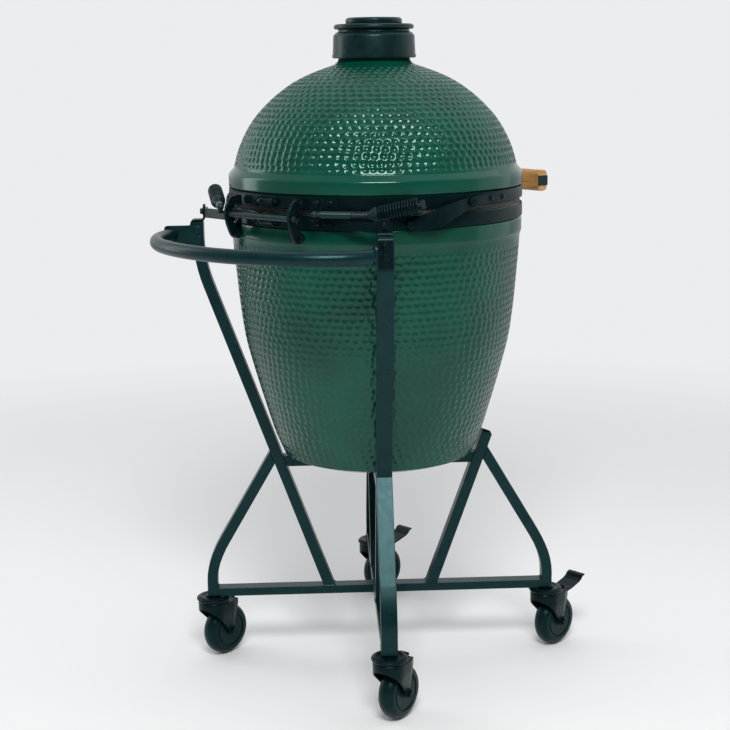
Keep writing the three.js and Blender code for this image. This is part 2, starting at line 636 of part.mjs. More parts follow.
const uprightPath = [[tAt(120), 120]].concat(
  bend([tAt(742), 742], [TOP_T, zAt(TOP_T)], [TOP_T, 832]),
  [[TOP_T, TOP_Z]],
);
const bracePath = [[tAt(120), 120], [tAt(BRACE_TOP_Z), BRACE_TOP_Z]];
const JOIN_Z = 417;
const OUTER_SLOPE = 0.586;
const joinT = tAt(JOIN_Z);
const kneeZ = JOIN_Z - (LEG_T - joinT) / OUTER_SLOPE;
const outerPath = [[joinT, JOIN_Z]].concat(
  bend([LEG_T - 27, kneeZ + 27 / OUTER_SLOPE], [LEG_T, kneeZ], [LEG_T, kneeZ - 36]),
  [[LEG_T, BAR_LOW_Z[0] + 1]],
);
const below = solid(box(-500, 500, -500, 500, -100, BAR_LOW_Z[1] + GAP));
const place = (body, deg) => solid(turned(toGeometry(body), deg));

const upright = flatTube(uprightPath, TUBE_W, TUBE_D, TUBE_WALL).subtract(below);
const brace = flatTube(bracePath, TUBE_W, TUBE_D, TUBE_WALL).subtract(below);
const braceSolid = solidTube(bracePath, TUBE_W + 4, TUBE_D + 2 * GAP);
// the slanted top of each outer leg is cut back to the face of the inner leg
const inboard = plateXZ([[tAt(500), 500], [tAt(100), 100], [-300, 100], [-300, 500]], 80);
const outerLeg = flatTube(outerPath, TUBE_W, TUBE_D, TUBE_WALL)
  .subtract(braceSolid)
  .subtract(solid(inboard));

for (const [name, deg] of Object.entries(LEG_ANGLES)) {
  addSolid(`outer_leg_${name}`, place(outerLeg, deg), FRAME);
}
addSolid('upright_rear_left', place(upright, LEG_ANGLES.rear_left), FRAME);
addSolid('upright_rear_right', place(upright, LEG_ANGLES.rear_right), FRAME);
addSolid('brace_front_right', place(brace, LEG_ANGLES.front_right), FRAME);
addSolid('brace_front_left', place(brace, LEG_ANGLES.front_left), FRAME);

function barTube(t0, t1, width, zRange, wall, vent) {
  const outer = solid(box(t0, t1, -width / 2, width / 2, zRange[0], zRange[1]));
  const w = width / 2 - wall;
  const inner = solid(box(t0 - vent, t1 + vent, -w, w, zRange[0] + wall, zRange[1] - wall));
  return outer.subtract(inner);
}
const lowEnd = LEG_T - TUBE_D / 2 - GAP;
const lowFull = barTube(-lowEnd, lowEnd, 28, BAR_LOW_Z, 1.8, 5);
const lowHalf = barTube(14 + GAP, lowEnd, 28, BAR_LOW_Z, 1.8, 5);
addSolid('lower_bar_long', place(lowFull, LEG_ANGLES.rear_right), FRAME);
addSolid('lower_bar_rear', place(lowHalf, LEG_ANGLES.rear_left), FRAME);
addSolid('lower_bar_front', place(lowHalf, LEG_ANGLES.front_right), FRAME);

const highEnd = tAt(BAR_TOP_Z[0]);
const outboard = plateXZ([[tAt(300), 300], [tAt(440), 440], [400, 440], [400, 300]], 60);
function cutLegs(body) {
  let out = body;
  for (const side of [0, 180]) {
    out = out.subtract(place(braceSolid, side));
    out = out.subtract(solid(turned(outboard, side)));
  }
  return out;
}
const highFull = cutLegs(barTube(-highEnd, highEnd, 28, BAR_TOP_Z, 1.8, 5));
const highHalf = cutLegs(barTube(14 + GAP, highEnd, 28, BAR_TOP_Z, 1.8, 5));
addSolid('upper_bar_long', place(highFull, LEG_ANGLES.rear_right), FRAME);
addSolid('upper_bar_rear', place(highHalf, LEG_ANGLES.rear_left), FRAME);
addSolid('upper_bar_front', place(highHalf, LEG_ANGLES.front_right), FRAME);

// bracket that steps over the top of each upright
const stepPath = [
  [TOP_T + 10 + GAP, 812], [TOP_T + 14.3, 812], [TOP_T + 14.3, 866], [TOP_T - 10, 866],
  [TOP_T - 10, 893], [TOP_T - 14, 893], [TOP_T - 14, TOP_Z + GAP], [TOP_T + 10 + GAP, TOP_Z + GAP],
];
let stepPlate = solid(plateXZ(stepPath, 25));
for (const z of [831, 849]) {
  stepPlate = stepPlate.add(solid(boltHead([TOP_T + 13, 0, z], [1, 0, 0], 6, 6)));
}
stepPlate = stepPlate.add(solid(boltHead([TOP_T - 11, 0, 880], [1, 0, 0], 6, 6)));
addSolid('step_plate_left', place(stepPlate, LEG_ANGLES.rear_left), DARK);
addSolid('step_plate_right', place(stepPlate, LEG_ANGLES.rear_right), DARK);

// flat strap from the hinge bracket to each step plate
const strapT = TOP_T - 14 - GAP - 2;
function onLeg(t, s, deg) {
  const a = rad(deg);
  return [t * Math.cos(a) - s * Math.sin(a), t * Math.sin(a) + s * Math.cos(a)];
}
const onRing = (r, deg) => [r * Math.cos(rad(deg)), r * Math.sin(rad(deg))];
const STRAP_R = PLATE_R[1] + GAP + 2.2;
const STRAP_Z = [869.5, 887];
const strapPath = [
  onRing(STRAP_R, 65.5), onRing(STRAP_R, 62.5), onRing(STRAP_R + 0.6, 60),
  onLeg(strapT, 16, LEG_ANGLES.rear_right), onLeg(strapT, -13, LEG_ANGLES.rear_right),
];
let strap = solid(plateXY(strip(strapPath, 4), ...STRAP_Z));
strap = strap.subtract(solid(disc(PLATE_R[1] + GAP, 800, 960)));
strap = radialBolts(strap, STRAP_R + 1, [[63.6, 878]]);
addSolid('mount_strap_right', strap, DARK);
addSolid('mount_strap_left', solid(mirrorX(toGeometry(strap))), DARK);

// push handle: one bent round tube with a flat cheek plate at each end
const PUSH_Z = 837.5;
const PUSH = { centre: 245, half: 262, deep: 183, r: 12.5, wall: 2.5 };
function pushPath(fromDeg, steps) {
  const pts = [];
  for (let i = 0; i <= steps; i += 1) {
    const a = rad(fromDeg + ((180 - 2 * fromDeg) * i) / steps);
    pts.push(new THREE.Vector3(-PUSH.half * Math.cos(a), PUSH.centre + PUSH.deep * Math.sin(a), PUSH_Z));
  }
  return new THREE.CatmullRomCurve3(pts);
}
function sweptDisc(curve, r, steps, segments) {
  const shape = new THREE.Shape();
  shape.absarc(0, 0, r, 0, 2 * Math.PI, false);
  const opts = { steps, bevelEnabled: false, extrudePath: curve, curveSegments: segments };
  return orient(new THREE.ExtrudeGeometry(shape, opts));
}
let push = solid(sweptDisc(pushPath(8, 16), PUSH.r, 18, 6));
for (const side of [-1, 1]) {
  const deg = side < 0 ? LEG_ANGLES.rear_left : LEG_ANGLES.rear_right;
  const s = side > 0 ? [TUBE_W / 2 + GAP, TUBE_W / 2 + GAP + 5] : [-TUBE_W / 2 - GAP - 5, -TUBE_W / 2 - GAP];
  const cheek = box(TOP_T - 8, TOP_T + 62, s[0], s[1], PUSH_Z - 18, PUSH_Z + 18);
  push = push.add(solid(turned(cheek, deg)));
  const cutS = side > 0 ? [-60, s[0]] : [s[1], 60];
  const inward = box(TOP_T - 60, TOP_T + 90, ...cutS, PUSH_Z - 25, PUSH_Z + 25);
  push = push.subtract(solid(turned(inward, deg)));
  for (const z of [-9, 9]) {
    const at = side > 0 ? s[1] - 1 : s[0] + 1;
    const head = boltHead([TOP_T, at, PUSH_Z + z], [0, side, 0], 6, 5.5);
    push = push.add(solid(turned(head, deg)));
  }
}
push = push.subtract(solid(sweptDisc(pushPath(-2, 18), PUSH.r - PUSH.wall, 20, 5)));
addSolid('push_handle', push, FRAME);

// ---------------------------------------------------------------- casters
const YOKE = { in: WHEEL_W / 2 + 3, out: WHEEL_W / 2 + 6, top: 112.5 };
const wheelOutline = [
  [5.6, -16], [13, -16], [16, -12.5], [34, -12.5], [35, -16], [41, -16], [46.6, -11], [WHEEL_R, -4.5],
  [WHEEL_R, 4.5], [46.6, 11], [41, 16], [35, 16], [34, 12.5], [16, 12.5], [13, 16], [5.6, 16],
];
// one flat of the tread faces the floor
const WHEEL_FLATS = 24;
const wheel = lathe(wheelOutline, WHEEL_FLATS);
wheel.rotateX(Math.PI / 2);
wheel.rotateY(Math.PI / WHEEL_FLATS);
const yokeSide = [
  [-20, YOKE.top], [44, YOKE.top], [46, 104], [42, 62], [41, 50], [37, 42], [30, 39], [23, 42], [19, 50],
  [14, 70], [-6, 98], [-20, 106],
];
const PEDAL_PIN = [35, 107];
let fork = solid(lathe([
  [0, 113], [27, 113], [32.8, 117], [32.8, 121.5], [27, 126.5], [6, 127.9], [6, 152], [0, 152],
], 20));
fork = fork.add(solid(box(-22, 26, -YOKE.out, YOKE.out, 107, YOKE.top)));
fork = fork.add(solid(disc(18, 108, 114, 20)));
for (const side of [-1, 1]) {
  const cheek = plateXZ(yokeSide, YOKE.out - YOKE.in);
  fork = fork.add(solid(move(cheek, 0, (side * (YOKE.in + YOKE.out)) / 2, 0)));
  const nut = rod([TRAIL, side * (YOKE.out - 1), WHEEL_R], [TRAIL, side * (YOKE.out + 6), WHEEL_R], 8.5, 6);
  fork = fork.add(solid(nut));
}
fork = fork.add(solid(rod([TRAIL, -YOKE.out, WHEEL_R], [TRAIL, YOKE.out, WHEEL_R], 5, 10)));
const pedalPin = rod([PEDAL_PIN[0], -YOKE.out, PEDAL_PIN[1]], [PEDAL_PIN[0], YOKE.out, PEDAL_PIN[1]], 2.5, 8);
const brakeFork = fork.add(solid(pedalPin));
let pedal = solid(plateXZ([
  [29, 103], [40, 102.5], [52, 105.5], [92, 119], [103, 124], [101.5, 128], [90, 123.5], [50, 110], [40, 111],
  [29, 111],
], 2 * (YOKE.in - 1)));
pedal = pedal.subtract(solid(move(pedalPin, 0, 0, 0)));
const pinBore = rod([PEDAL_PIN[0], -40, PEDAL_PIN[1]], [PEDAL_PIN[0], 40, PEDAL_PIN[1]], 2.9, 8);
pedal = pedal.subtract(solid(pinBore));
const stopCut = box(20, 30.5, -40, 40, 90, 120);
pedal = pedal.subtract(solid(stopCut));

// direction in which each caster trails, degrees about +Z from +X
const TRAIL_DEG = { rear_left: -82, rear_right: -89, front_right: -92, front_left: -92 };
for (const [name, deg] of Object.entries(LEG_ANGLES)) {
  const [x, y] = onLeg(LEG_T, 0, deg);
  const settle = (g) => move(turned(g, TRAIL_DEG[name]), x, y, 0);
  const braked = name.startsWith('front');
  addSolid(`fork_${name}`, solid(settle(toGeometry(braked ? brakeFork : fork))), DARK);
  add(`wheel_${name}`, settle(move(wheel, TRAIL, 0, WHEEL_R)), RUBBER);
  if (braked) {
    addSolid(`brake_pedal_${name}`, solid(settle(toGeometry(pedal))), DARK);
  }
}

const bounds = new THREE.Box3().setFromObject(group);
const middle = bounds.getCenter(new THREE.Vector3());
group.position.set(-middle.x, -middle.y, -bounds.min.z);

export default group;
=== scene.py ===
"""Looks of the kamado ceramic grill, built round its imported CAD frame.

Lengths in this script are millimetres measured from the axis of the egg, with +Z up and
+Y towards the hinge.  to_row() turns them into the metres of the row frame.
"""
import json
import math
import random

import bmesh
import bpy
import numpy as np
from mathutils import Matrix, Vector, kdtree


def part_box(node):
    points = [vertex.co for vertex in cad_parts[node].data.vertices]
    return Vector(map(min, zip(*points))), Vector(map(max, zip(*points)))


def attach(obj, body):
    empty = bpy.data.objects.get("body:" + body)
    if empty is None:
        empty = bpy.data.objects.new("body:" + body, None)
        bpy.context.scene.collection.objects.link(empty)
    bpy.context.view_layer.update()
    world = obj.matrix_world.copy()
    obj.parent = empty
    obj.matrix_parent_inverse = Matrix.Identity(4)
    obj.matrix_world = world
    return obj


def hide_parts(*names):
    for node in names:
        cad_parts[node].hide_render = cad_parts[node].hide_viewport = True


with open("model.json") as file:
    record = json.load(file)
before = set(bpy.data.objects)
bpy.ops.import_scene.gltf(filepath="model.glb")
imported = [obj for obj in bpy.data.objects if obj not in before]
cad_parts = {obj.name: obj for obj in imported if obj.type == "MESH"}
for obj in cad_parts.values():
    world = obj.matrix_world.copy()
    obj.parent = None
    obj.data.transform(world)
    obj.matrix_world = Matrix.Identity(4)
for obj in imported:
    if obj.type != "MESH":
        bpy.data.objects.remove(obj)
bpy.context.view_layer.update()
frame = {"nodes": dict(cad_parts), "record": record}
NODES = frame["nodes"]
RECORD = frame["record"]
BODY = {n: b for b, ns in RECORD["behaviour"]["bodies"].items() for n in ns}
SLOT = {s["node"]: s["material_slot"] for s in RECORD["subparts"]}

# ------------------------------------------------------------------ driving sizes
RIM_R = 272.5             # outer radius of the lid rim
SEAM_Z = 897.7            # plane where the two gaskets meet
BAND_SEAT_R = RIM_R - 4.1
DIAL_TOP_Z = 1228.5       # top of the chimney cap
TUBE_W = 29
TUBE_D = 20
LEG_T = 328               # distance of the swivels from the axis
LEG_SLOPE = 0.36          # lean of an upright: distance from the axis gained per height
LEG_FOOT_T = 100.5        # distance of an upright from the axis on the lower bars
BAR_LOW = (128, 144)
TOP_T = 332
WHEEL_R = 50
WHEEL_HALF = 16
TRAIL = 28                # from the swivel to the axle
HINGE = (281, 856)        # y and z of the lid hinge
HINGE_X = 79              # middle of a hinge plate
PUSH_Z = 837.5            # height of the push handle
LEGS = {"rear_left": 135, "rear_right": 45, "front_right": 315, "front_left": 225}
TRAIL_DEG = {"rear_left": -82, "rear_right": -89, "front_right": -92, "front_left": -92}
UPPER_BAND = (SEAM_Z + 5.8, SEAM_Z + 26.8)
LOWER_BAND = (SEAM_Z - 28.3, SEAM_Z - 5.8)

low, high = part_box("cap_dial")
AXIS_X = (low.x + high.x) / 2
AXIS_Y = (low.y + high.y) / 2
LIFT = high.z - DIAL_TOP_Z / 1000


def to_row(points):
    p = np.asarray(points, float) / 1000
    return p + np.array([AXIS_X, AXIS_Y, LIFT])


# ------------------------------------------------------------------ camera
CAM_AWAY = 2.765          # metres from the axis of the egg, level
CAM_UP = 1.1455
CAM_SIDE = (-0.6748, 0.7380)
CAM_PITCH = math.radians(11.549)
CAM_ROLL = math.radians(0.676)
CAM_LENS = 72.742
CAM_SHIFT = -0.01744


def make_camera():
    data = bpy.data.cameras.new("camera")
    data.sensor_width = 36
    data.lens = CAM_LENS
    data.shift_x = CAM_SHIFT
    cam = bpy.data.objects.new("camera", data)
    bpy.context.scene.collection.objects.link(cam)
    ahead = Vector((-CAM_SIDE[0], -CAM_SIDE[1], 0)).normalized()
    up = Vector((0, 0, 1))
    right = ahead.cross(up)
    forward = ahead * math.cos(CAM_PITCH) - up * math.sin(CAM_PITCH)
    lifted = ahead * math.sin(CAM_PITCH) + up * math.cos(CAM_PITCH)
    cr, sr = math.cos(CAM_ROLL), math.sin(CAM_ROLL)
    x = right * cr - lifted * sr
    y = right * sr + lifted * cr
    m = Matrix((x, y, -forward)).transposed().to_4x4()
    m.translation = Vector((CAM_SIDE[0] * CAM_AWAY + AXIS_X, CAM_SIDE[1] * CAM_AWAY + AXIS_Y, CAM_UP + LIFT))
    cam.matrix_world = m
    bpy.context.scene.camera = cam


make_camera()


# ------------------------------------------------------------------ materials
def new_material(name, color, rough, metal=0.0, coat=0.0, coat_rough=0.05, spec=0.5, tint=(1, 1, 1)):
    mat = bpy.data.materials.new(name)
    mat.use_nodes = True
    shader = mat.node_tree.nodes["Principled BSDF"]
    shader.inputs["Base Color"].default_value = (*color, 1)
    shader.inputs["Roughness"].default_value = rough
    shader.inputs["Metallic"].default_value = metal
    shader.inputs["Coat Weight"].default_value = coat
    shader.inputs["Coat Roughness"].default_value = coat_rough
    shader.inputs["Specular IOR Level"].default_value = spec
    shader.inputs["Specular Tint"].default_value = (*tint, 1)
    return mat


def node(mat, kind, **values):
    n = mat.node_tree.nodes.new(kind)
    for key, value in values.items():
        if key in n.inputs:
            n.inputs[key].default_value = value
        else:
            setattr(n, key, value)
    return n


def link(mat, a, out, b, into):
    mat.node_tree.links.new(a.outputs[out], b.inputs[into])


def shader_of(mat):
    return mat.node_tree.nodes["Principled BSDF"]


def ramp(mat, stops):
    n = mat.node_tree.nodes.new("ShaderNodeValToRGB")
    elements = n.color_ramp.elements
    while len(elements) < len(stops):
        elements.new(0.5)
    for e, (pos, color) in zip(elements, stops):
        e.position = pos
        e.color = (*color, 1)
    return n


def noise_of(mat, scale, detail, stretch=None):
    """Noise in the object's own space, drawn out along its axes by stretch."""
    coords = node(mat, "ShaderNodeTexCoord")
    noise = node(mat, "ShaderNodeTexNoise", Scale=scale, Detail=detail)
    if not stretch:
        link(mat, coords, "Object", noise, "Vector")
        return noise
    mapping = node(mat, "ShaderNodeMapping", Scale=stretch)
    link(mat, coords, "Object", mapping, "Vector")
    link(mat, mapping, "Vector", noise, "Vector")
    return noise


def noise_color(mat, scale, dark, light, detail=4.0, low_pos=0.35, high_pos=0.65, stretch=None):
    noise = noise_of(mat, scale, detail, stretch)
    colors = ramp(mat, [(low_pos, dark), (high_pos, light)])
    link(mat, noise, "Fac", colors, "Fac")
    link(mat, colors, "Color", shader_of(mat), "Base Color")


def noise_rough(mat, scale, low_value, high_value, detail=3.0):
    noise = noise_of(mat, scale, detail)
    span = node(mat, "ShaderNodeMapRange")
    span.inputs["To Min"].default_value = low_value
    span.inputs["To Max"].default_value = high_value
    link(mat, noise, "Fac", span, "Value")
    link(mat, span, "Result", shader_of(mat), "Roughness")


def noise_bump(mat, scale, strength, distance, detail=3.0, stretch=None):
    noise = noise_of(mat, scale, detail, stretch)
    bump = node(mat, "ShaderNodeBump", Strength=strength, Distance=distance)
    link(mat, noise, "Fac", bump, "Height")
    link(mat, bump, "Normal", shader_of(mat), "Normal")


TEAL = (0.45, 0.88, 0.92)     # tint of the gloss of the dark green paint


def make_glaze():
    tint = (0.6, 1, 0.88)
    mat = new_material("glaze", (0.0, 0.06, 0.032), 0.16, coat=0.12, coat_rough=0.05, spec=0.34, tint=tint)
    noise_color(mat, 9, (0.0012, 0.043, 0.027), (0.0022, 0.06, 0.039), detail=6)
    noise_rough(mat, 30, 0.12, 0.24)
    noise_bump(mat, 160, 0.08, 0.0006, detail=2)
    return mat


def make_powder(name, color, light, rough, spec=0.3, tint=TEAL):
    mat = new_material(name, color, rough, spec=spec, tint=tint)
    noise_color(mat, 40, color, light, detail=5)
    noise_rough(mat, 120, rough - 0.06, rough + 0.1)
    noise_bump(mat, 1400, 0.18, 0.0004, detail=2)
    return mat


def make_cast(name, color, light, rough):
    mat = new_material(name, color, rough, spec=0.35, tint=TEAL)
    noise_color(mat, 60, color, light, detail=6)
    noise_rough(mat, 90, rough - 0.08, rough + 0.12)
    noise_bump(mat, 420, 0.3, 0.0006, detail=4)
    return mat


def make_wood():
    mat = new_material("wood", (0.5, 0.25, 0.08), 0.5, coat=0.15, coat_rough=0.3)
    noise_color(mat, 14, (0.27, 0.115, 0.03), (0.62, 0.33, 0.10), detail=8, low_pos=0.3, high_pos=0.7,
                stretch=(1.2, 9, 26))
    noise_rough(mat, 60, 0.42, 0.62)
    noise_bump(mat, 90, 0.25, 0.0008, detail=6, stretch=(1, 8, 20))
    return mat


def make_steel():
    mat = new_material("steel", (0.55, 0.56, 0.57), 0.3, metal=1.0)
    noise_color(mat, 30, (0.45, 0.46, 0.47), (0.62, 0.63, 0.64), detail=5, stretch=(2, 2, 40))
    noise_rough(mat, 80, 0.24, 0.4)
    noise_bump(mat, 300, 0.12, 0.0003, stretch=(1, 1, 25))
    return mat


def make_clay():
    mat = new_material("fired_clay", (0.5, 0.38, 0.26), 0.9)
    noise_color(mat, 22, (0.36, 0.26, 0.17), (0.6, 0.48, 0.34), detail=8)
    noise_bump(mat, 240, 0.5, 0.001, detail=6)
    return mat


def make_felt():
    mat = new_material("felt", (0.02, 0.02, 0.021), 0.95)
    shader_of(mat).inputs["Sheen Weight"].default_value = 0.4
    noise_color(mat, 300, (0.012, 0.012, 0.013), (0.05, 0.05, 0.052), detail=8)
    noise_bump(mat, 900, 0.8, 0.001, detail=8)
    return mat


def make_plain(name, color, rough, coat=0.0, spec=0.5, tint=(1, 1, 1)):
    mat = new_material(name, color, rough, coat=coat, spec=spec, tint=tint)
    tone = tuple(c * 0.8 for c in color)
    noise_color(mat, 70, tone, color, detail=4)
    noise_bump(mat, 500, 0.1, 0.0003)
    return mat


GLAZE = make_glaze()
PAINT = make_powder("frame_paint", (0.0015, 0.013, 0.0145), (0.0028, 0.018, 0.02), 0.28, 0.28)
BLACK = make_powder("dark_steel", (0.001, 0.005, 0.0065), (0.002, 0.008, 0.01), 0.28, 0.16)
BAND = make_powder("band_steel", (0.001, 0.005, 0.007), (0.002, 0.0075, 0.01), 0.28, 0.14)
IRON = make_cast("cap_iron", (0.002, 0.009, 0.01), (0.005, 0.016, 0.017), 0.28)
GRATE = make_cast("grate_iron", (0.02, 0.02, 0.02), (0.06, 0.055, 0.05), 0.7)
WOOD = make_wood()
STEEL = make_steel()
CLAY = make_clay()
FELT = make_felt()
RUBBER = make_plain("wheel", (0.002, 0.013, 0.014), 0.34, spec=0.2, tint=TEAL)
FACE = make_plain("dial_face", (0.75, 0.73, 0.66), 0.5, coat=0.4)
INK = make_plain("dial_ink", (0.02, 0.02, 0.02), 0.5)
RED = make_plain("needle", (0.45, 0.03, 0.02), 0.4)
STRIP = make_powder("handle_strip", (0.008, 0.015, 0.018), (0.014, 0.023, 0.026), 0.32)


# ------------------------------------------------------------------ mesh helpers
def fillet(outline, radius, steps=4, closed=True):
    """Round the corners of a 2-D outline."""
    pts = [Vector(p) for p in outline]
    n = len(pts)
    out = []
    for i, p in enumerate(pts):
        if not closed and i in (0, n - 1):
            out.append(p)
            continue
        a = pts[i - 1] - p
        b = pts[(i + 1) % n] - p
        r = min(radius, a.length * 0.45, b.length * 0.45)
        if a.length < 1e-6 or b.length < 1e-6 or a.angle(b) > math.radians(176):
            out.append(p)
            continue
        start = p + a.normalized() * r
        end = p + b.normalized() * r
        for k in range(steps + 1):
            t = k / steps
            out.append(start * (1 - t) ** 2 + p * 2 * t * (1 - t) + end * t ** 2)
    return [tuple(p) for p in out]


class Shape:
    """A mesh under construction, in millimetres."""

    def __init__(self):
        self.verts = []
        self.faces = []
        self.mats = []
        self.slot = 0

    def add(self, verts, faces, matrix=None):
        base = len(self.verts)
        if matrix is not None:
            verts = [matrix @ Vector(v) for v in verts]
        self.verts.extend(tuple(v) for v in verts)
        for f in faces:
            self.faces.append(tuple(base + i for i in f))
            self.mats.append(self.slot)
        return self

    def lathe(self, outline, segments=96, matrix=None):
        """Revolve a closed (r, z) outline about Z; points on the axis are shared."""
        rings = []
        verts = []
        for r, z in outline:
            if r < 1e-6:
                rings.append([len(verts)] * segments)
                verts.append((0, 0, z))
                continue
            first = len(verts)
            for k in range(segments):
                a = 2 * math.pi * k / segments
                verts.append((r * math.cos(a), r * math.sin(a), z))
            rings.append(list(range(first, first + segments)))
        faces = []
        n = len(rings)
        for i in range(n):
            a, b = rings[i], rings[(i + 1) % n]
            if a[0] == a[1] and b[0] == b[1]:
                continue
            for k in range(segments):
                m = (k + 1) % segments
                quad = [a[k], a[m], b[m], b[k]]
                face = []
                for q in quad:
                    if q not in face:
                        face.append(q)
                faces.append(face)
        return self.add(verts, faces, matrix)

    def prism(self, outline, low_end, high_end, matrix=None):
        """Extrude a closed (x, y) outline along Z."""
        n = len(outline)
        verts = [(x, y, low_end) for x, y in outline] + [(x, y, high_end) for x, y in outline]
        faces = [tuple(range(n - 1, -1, -1)), tuple(range(n, 2 * n))]
        faces += [(i, (i + 1) % n, n + (i + 1) % n, n + i) for i in range(n)]
        return self.add(verts, faces, matrix)

    def block(self, lo, hi, matrix=None):
        outline = [(lo[0], lo[1]), (hi[0], lo[1]), (hi[0], hi[1]), (lo[0], hi[1])]
        return self.prism(outline, lo[2], hi[2], matrix)

    def sweep(self, path, section, flat=None, closed=False):
        """Carry a closed (u, v) section along a path; flat fixes the u direction."""
        pts = [Vector(p) for p in path]
        n = len(pts)
        m = len(section)
        verts = []
        side = None
        for i, p in enumerate(pts):
            before = pts[i - 1] if (i > 0 or closed) else None
            after = pts[(i + 1) % n] if (i < n - 1 or closed) else None
            d_in = (p - before).normalized() if before is not None else (after - p).normalized()
            d_out = (after - p).normalized() if after is not None else d_in
            d = (d_in + d_out).normalized()
            stretch = 1 / max(d.dot(d_in), 0.4)
            if flat is not None:
                u = Vector(flat)
                v = d.cross(u).normalized()
                verts.extend(p + u * a + v * (b * stretch) for a, b in section)
                continue
            if side is None:
                side = d.orthogonal().normalized()
            side = (side - d * side.dot(d)).normalized()
            v = d.cross(side)
            verts.extend(p + side * a + v * b for a, b in section)
        faces = []
        for i in range(n if closed else n - 1):
            a, b = i * m, ((i + 1) % n) * m
            faces += [(a + k, a + (k + 1) % m, b + (k + 1) % m, b + k) for k in range(m)]
        if not closed:
            faces.append(tuple(range(m - 1, -1, -1)))
            faces.append(tuple((n - 1) * m + k for k in range(m)))
        return self.add(verts, faces)

    def tube(self, path, radius, sides=24, closed=False):
        ring = [(radius * math.cos(2 * math.pi * k / sides), radius * math.sin(2 * math.pi * k / sides))
                for k in range(sides)]
        return self.sweep(path, ring, closed=closed)

    def ribbon(self, stations, thick):
        """Bent flat bar from (angle, radius, z, half height) stations about the egg axis."""
        verts = []
        for deg, r, z, half in stations:
            c, s = math.cos(math.radians(deg)), math.sin(math.radians(deg))
            for rr, zz in ((r, z - half), (r + thick, z - half), (r + thick, z + half), (r, z + half)):
                verts.append((rr * c, rr * s, zz))
        n = len(stations)
        faces = []
        for i in range(n - 1):
            a, b = 4 * i, 4 * (i + 1)
            faces += [(a + k, a + (k + 1) % 4, b + (k + 1) % 4, b + k) for k in range(4)]
        faces += [(3, 2, 1, 0), tuple(4 * (n - 1) + k for k in range(4))]
        return self.add(verts, faces)

    def bolt(self, at, direction, across=6.0, height=5.0, washer=True):
        """Hexagon head with a chamfered crown on a thin washer."""
        m = aligned(at, direction)
        if washer:
            wide = across * 1.35
            self.lathe([(0, 0), (wide, 0), (wide, 1.0), (across * 1.25, 1.3), (0, 1.3)], 24, m)
        start = 1.3 if washer else 0.0
        hexagon = [(across * math.cos(math.radians(60 * k)), across * math.sin(math.radians(60 * k)))
                   for k in range(6)]
        top = [(x * 0.86, y * 0.86) for x, y in hexagon]
        verts = [(x, y, start) for x, y in hexagon]
        verts += [(x, y, start + height * 0.8) for x, y in hexagon]
        verts += [(x, y, start + height) for x, y in top]
        faces = [tuple(range(5, -1, -1)), tuple(range(12, 18))]
        for level in (0, 6):
            for k in range(6):
                after = (k + 1) % 6
                faces.append((level + k, level + after, level + 6 + after, level + 6 + k))
        return self.add(verts, faces, m)

    def dome(self, at, direction, radius=6.0, height=4.0, sides=24):
        """Round-headed screw."""
        outline = [(0, 0), (radius, 0), (radius, height * 0.25)]
        for k in range(1, 6):
            a = math.radians(90 * k / 5)
            outline.append((radius * math.cos(a) if k < 5 else 0.0, height * (0.25 + 0.75 * math.sin(a))))
        return self.lathe(outline, sides, aligned(at, direction))


def aligned(at, direction):
    """Matrix that carries +Z at the origin to a direction at a point."""
    q = Vector((0, 0, 1)).rotation_difference(Vector(direction).normalized())
    return Matrix.Translation(Vector(at)) @ q.to_matrix().to_4x4()


def turn(deg, at=(0, 0, 0)):
    return Matrix.Translation(Vector(at)) @ Matrix.Rotation(math.radians(deg), 4, "Z")


def finish_piece(shape, name, materials, body, replaces=(), slot_name=None, bevel=0.0, sharp=32):
    mesh = bpy.data.meshes.new(name)
    mesh.from_pydata([tuple(v) for v in to_row(shape.verts)], [], shape.faces)
    materials = materials if isinstance(materials, (list, tuple)) else [materials]
    for m in materials:
        mesh.materials.append(m)
    mesh.polygons.foreach_set("material_index", shape.mats)
    bm = bmesh.new()
    bm.from_mesh(mesh)
    bmesh.ops.remove_doubles(bm, verts=bm.verts, dist=1e-7)
    bmesh.ops.recalc_face_normals(bm, faces=bm.faces)
    bm.to_mesh(mesh)
    bm.free()
    return settle(mesh, name, body, replaces, slot_name, bevel, sharp)


def swap(shape, name, material, node_name, bevel=0.0, sharp=32):
    """Finish a piece that stands in for one CAD node and rides on the node's body."""
    return finish_piece(shape, name, material, BODY[node_name], (node_name,), None, bevel, sharp)


def settle(mesh, name, body, replaces, slot_name, bevel, sharp):
    mesh.polygons.foreach_set("use_smooth", [True] * len(mesh.polygons))
    mesh.set_sharp_from_angle(angle=math.radians(sharp))
    obj = bpy.data.objects.new(name, mesh)
    bpy.context.scene.collection.objects.link(obj)
    if bevel:
        mod = obj.modifiers.new("edge", "BEVEL")
        mod.width = bevel / 1000
        mod.segments = 2
        mod.limit_method = "ANGLE"
        mod.angle_limit = math.radians(sharp)
        mod.harden_normals = True
    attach(obj, body)
    if replaces:
        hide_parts(*replaces)
        slot_name = slot_name or SLOT[replaces[0]]
    return obj


def one_material(mesh, material):
    mesh.materials.clear()
    mesh.materials.append(material)
    mesh.polygons.foreach_set("material_index", [0] * len(mesh.polygons))


def dressed(node_name, material, bevel=0.8):
    """A copy of a CAD node with joined faces and rounded edges, shown in its place."""
    mesh = NODES[node_name].data.copy()
    one_material(mesh, material)
    bm = bmesh.new()
    bm.from_mesh(mesh)
    bmesh.ops.remove_doubles(bm, verts=bm.verts, dist=2e-6)
    bmesh.ops.dissolve_limit(bm, angle_limit=math.radians(1), verts=bm.verts, edges=bm.edges)
    bmesh.ops.recalc_face_normals(bm, faces=bm.faces)
    bm.to_mesh(mesh)
    bm.free()
    return settle(mesh, node_name + "_skin", BODY[node_name], (node_name,), SLOT[node_name], bevel, 28)


